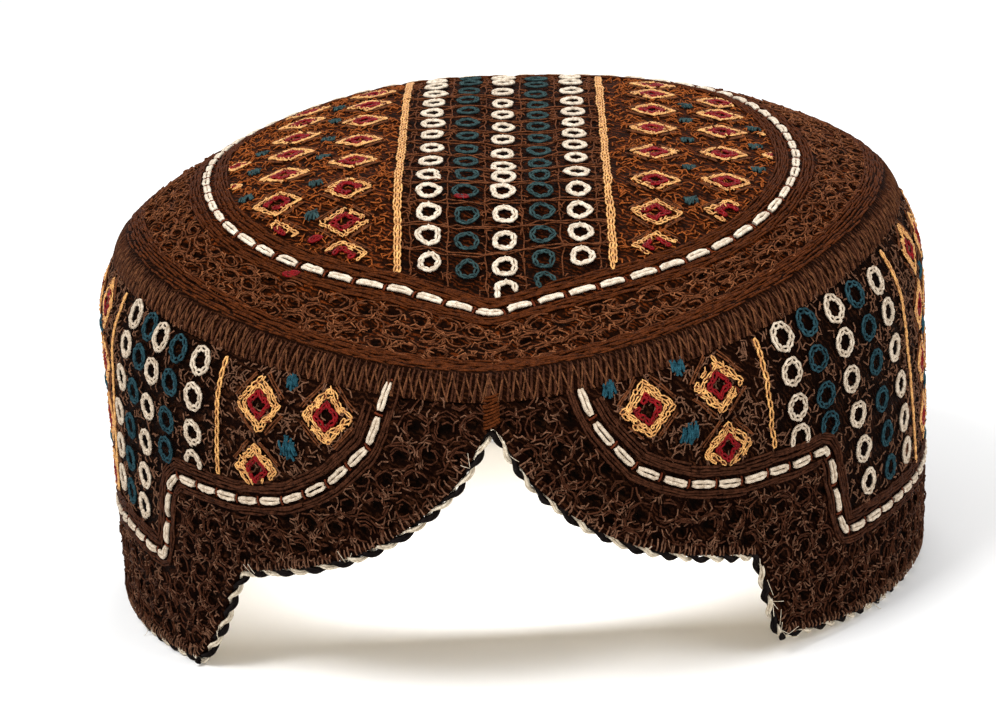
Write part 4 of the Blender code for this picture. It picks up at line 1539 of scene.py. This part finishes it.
def cord_path(count):
    """Even places along the cord's centre line, with the directions across it."""
    runs = np.linspace(0, 2 * HALF_GIRTH, 4001)
    heights = cord_level(runs)
    wall = on_wall(runs, heights)
    along = on_wall(runs + NEARBY, heights) - wall
    upwards = on_wall(runs, heights + NEARBY) - wall
    inwards = -np.cross(along, upwards)
    inwards *= BAND_WALL / 2 / np.linalg.norm(inwards, axis=1)[:, None]
    inwards[:, 2] *= np.clip((heights - CORD_REST) / CORD_RADIUS, 0, 1)
    centre = wall + inwards
    path = evenly(centre, length_of(centre) / count)
    ahead = np.gradient(path, axis=0)
    ahead /= np.linalg.norm(ahead, axis=1)[:, None]
    outwards = path * np.array((1.0, 1.0, 0.0)) - FORM_SHIFT
    outwards /= np.linalg.norm(outwards, axis=1)[:, None]
    first = np.cross(ahead, outwards)
    first /= np.linalg.norm(first, axis=1)[:, None]
    return path, first, np.cross(first, ahead)


CORD_STEPS = 1000
path, cord_up, cord_out = cord_path(CORD_STEPS)
cord_length = length_of(path)
LAY_LENGTH = 7.6 * MM
lay_turns = round(cord_length / LAY_LENGTH)
print(f"cord {cord_length / MM:.0f} mm round the edge, {lay_turns} turns")


# %% Cord yarns
# Least height of a yarn's middle, so that it rests on the floor
YARN_REST = 0.46 * MM


def yarn(start_turn, seed, reach_mm):
    """Three twisted strands that wind round the cord's centre line."""
    chance = np.random.default_rng(seed)
    share = np.linspace(0, 1, len(path))
    loose = np.interp(share, np.linspace(0, 1, 140), chance.uniform(-0.35, 0.35, 140))
    turn = 2 * math.pi * (lay_turns * share + start_turn) + loose
    lines = []
    for strand in range(3):
        own = 2 * math.pi * (strand / 3 - share * lay_turns * 1.3)
        reach = reach_mm + 0.30 * np.cos(own)
        swing = turn + 0.30 * np.sin(own) / reach_mm
        away = cord_up * np.sin(swing)[:, None] + cord_out * np.cos(swing)[:, None]
        spots = path + away * reach[:, None] * MM
        spots[:, 2] = np.maximum(spots[:, 2], YARN_REST)
        lines.append(spots[:-1])
    return lines


sewn("cord_black_yarn", yarn(0.0, 21, 0.62), 0.45 * MM, BLACK, "twisted_cord", "edge_cord", closed=True)
sewn("cord_white_yarn", yarn(0.5, 22, 0.66), 0.31 * MM, PALE, "twisted_cord", closed=True)

# %% [markdown]
# ## Whipping and wear
# The cord is whipped to the cloth. Brown stitches go over it at short steps, and a few pale ends
# stick out where the yarn has frayed. Hair could make the ends, but plain thin strands are enough
# for so few of them.

# %% Whip stitches
fringe_chance = np.random.default_rng(31)


def edge_whips():
    """Short brown stitches from the cloth above the cord down over its outer side."""
    lines = []
    for run in np.arange(0, 2 * HALF_GIRTH, 1.15 * MM):
        run = run + fringe_chance.normal(0, 0.25 * MM)
        low = float(cord_level(run))
        slope = (float(cord_level(run + 0.5 * MM)) - float(cord_level(run - 0.5 * MM))) / MM
        square = math.hypot(1, slope)
        normal = np.array((-slope / square, 1 / square))
        reach = fringe_chance.uniform(1.9, 3.0)
        share = np.array((0.6, 1.3, 0.5 + reach / 2, reach))
        runs = run + normal[0] * share * MM + fringe_chance.normal(0, 0.10 * MM, 4)
        heights = low + normal[1] * share * MM
        lines.append(on_wall(runs, heights, np.array((0.35, 0.45, 0.35, -0.1)) * MM))
    return lines


sewn("edge_whip_stitches", edge_whips(), FINE_THREAD, WALL_LIGHT, "twisted_cord")


# %% Frayed ends and knots
# Where the cord has frayed: (run in millimetres, how many ends)
FRAYED = ((1.5, 2), (-4.0, 3), (-58.0, 2), (59.0, 4), (61.5, 4), (-72.0, 2), (64.0, 3), (30.0, 2),
          (-33.0, 2), (95.0, 2), (-105.0, 2))


def frayed_ends():
    """Fine pale ends that stick out from the cord."""
    lines = []
    for run, count in FRAYED:
        for _ in range(count):
            start = run * MM + fringe_chance.normal(0, 1.2 * MM)
            turn = fringe_chance.uniform(-0.6, 0.9) * math.pi
            length = fringe_chance.uniform(1.5, 3.6) * MM
            share = np.linspace(0, 1, 4)
            runs = start + math.cos(turn) * length * share
            heights = float(cord_level(start)) + math.sin(turn) * length * share + 0.3 * MM * share**2
            heights = np.maximum(heights, 0.3 * MM)
            lines.append(on_wall(runs, heights, (0.3 + 1.1 * share) * MM))
    return lines


sewn("frayed_ends", frayed_ends(), 0.06 * MM, PALE, "twisted_cord")


def tip_knots():
    """Small black knots where the cord turns at the tips of the flaps."""
    lines = []
    for run, height in ((-LEFT_STEP_END, 1.3 * MM), (RIGHT_STEP_END, 4.2 * MM)):
        for turn in (0.0, 1.0, 2.1):
            angles = np.linspace(0, 1.7 * math.pi, 9) + turn
            reach = (0.55 - 0.12 * turn) * MM
            runs = run + reach * np.cos(angles)
            heights = np.maximum(height + reach * np.sin(angles), 0.5 * MM)
            lines.append(on_wall(runs, heights, (0.1 + 0.25 * turn) * MM))
    return lines


sewn("cord_knots", tip_knots(), 0.32 * MM, BLACK, "twisted_cord")

# %% [markdown]
# ## Floor and light
# The photo has a white ground and soft light from above, so the cap stands on a plain pale floor
# between a broad light overhead and two weaker ones. Through the arch the photo shows white, so a
# small lamp inside the cap lights its pale lining.

# %% Floor
floor_mesh = bmesh.new()
bmesh.ops.create_grid(floor_mesh, x_segments=1, y_segments=1, size=3.0)
floor_data = bpy.data.meshes.new("floor")
floor_mesh.to_mesh(floor_data)
floor_mesh.free()
floor = bpy.data.objects.new("floor", floor_data)
floor_finish = bpy.data.materials.new("pale_floor")
floor_finish.use_nodes = True
floor_finish.node_tree.nodes["Principled BSDF"].inputs["Base Color"].default_value = (0.86, 0.86, 0.86, 1)
floor_finish.node_tree.nodes["Principled BSDF"].inputs["Roughness"].default_value = 0.9
floor_data.materials.append(floor_finish)
bpy.context.scene.collection.objects.link(floor)
print("floor", [round(side) for side in floor.dimensions], "m")


# %% Lights and background
def soft_light(name, place, aim, size, power):
    lamp = bpy.data.lights.new(name, "AREA")
    lamp.shape = "SQUARE"
    lamp.size = size
    lamp.energy = power
    holder = bpy.data.objects.new(name, lamp)
    direction = (Vector(aim) - Vector(place)).normalized()
    holder.matrix_world = Matrix.Translation(place) @ direction.to_track_quat("-Z", "Y").to_matrix().to_4x4()
    bpy.context.scene.collection.objects.link(holder)


soft_light("key_light", (-0.45, -0.55, 0.95), (0, 0, 0.05), 0.45, 11.0)
soft_light("fill_light", (0.75, -0.55, 0.60), (0, 0, 0.05), 0.60, 5.0)
soft_light("back_light", (0.10, 0.80, 0.80), (0, 0, 0.05), 0.50, 4.0)
soft_light("inside_light", (0.0, -0.030, 0.048), (0, 0.05, 0.012), 0.03, 0.15)
world = bpy.data.worlds.new("studio")
world.use_nodes = True
world.node_tree.nodes["Background"].inputs["Color"].default_value = (1, 1, 1, 1)
world.node_tree.nodes["Background"].inputs["Strength"].default_value = 0.75
bpy.context.scene.world = world
bpy.context.scene.view_settings.view_transform = "Standard"
print(len(bpy.data.lights), "lights")
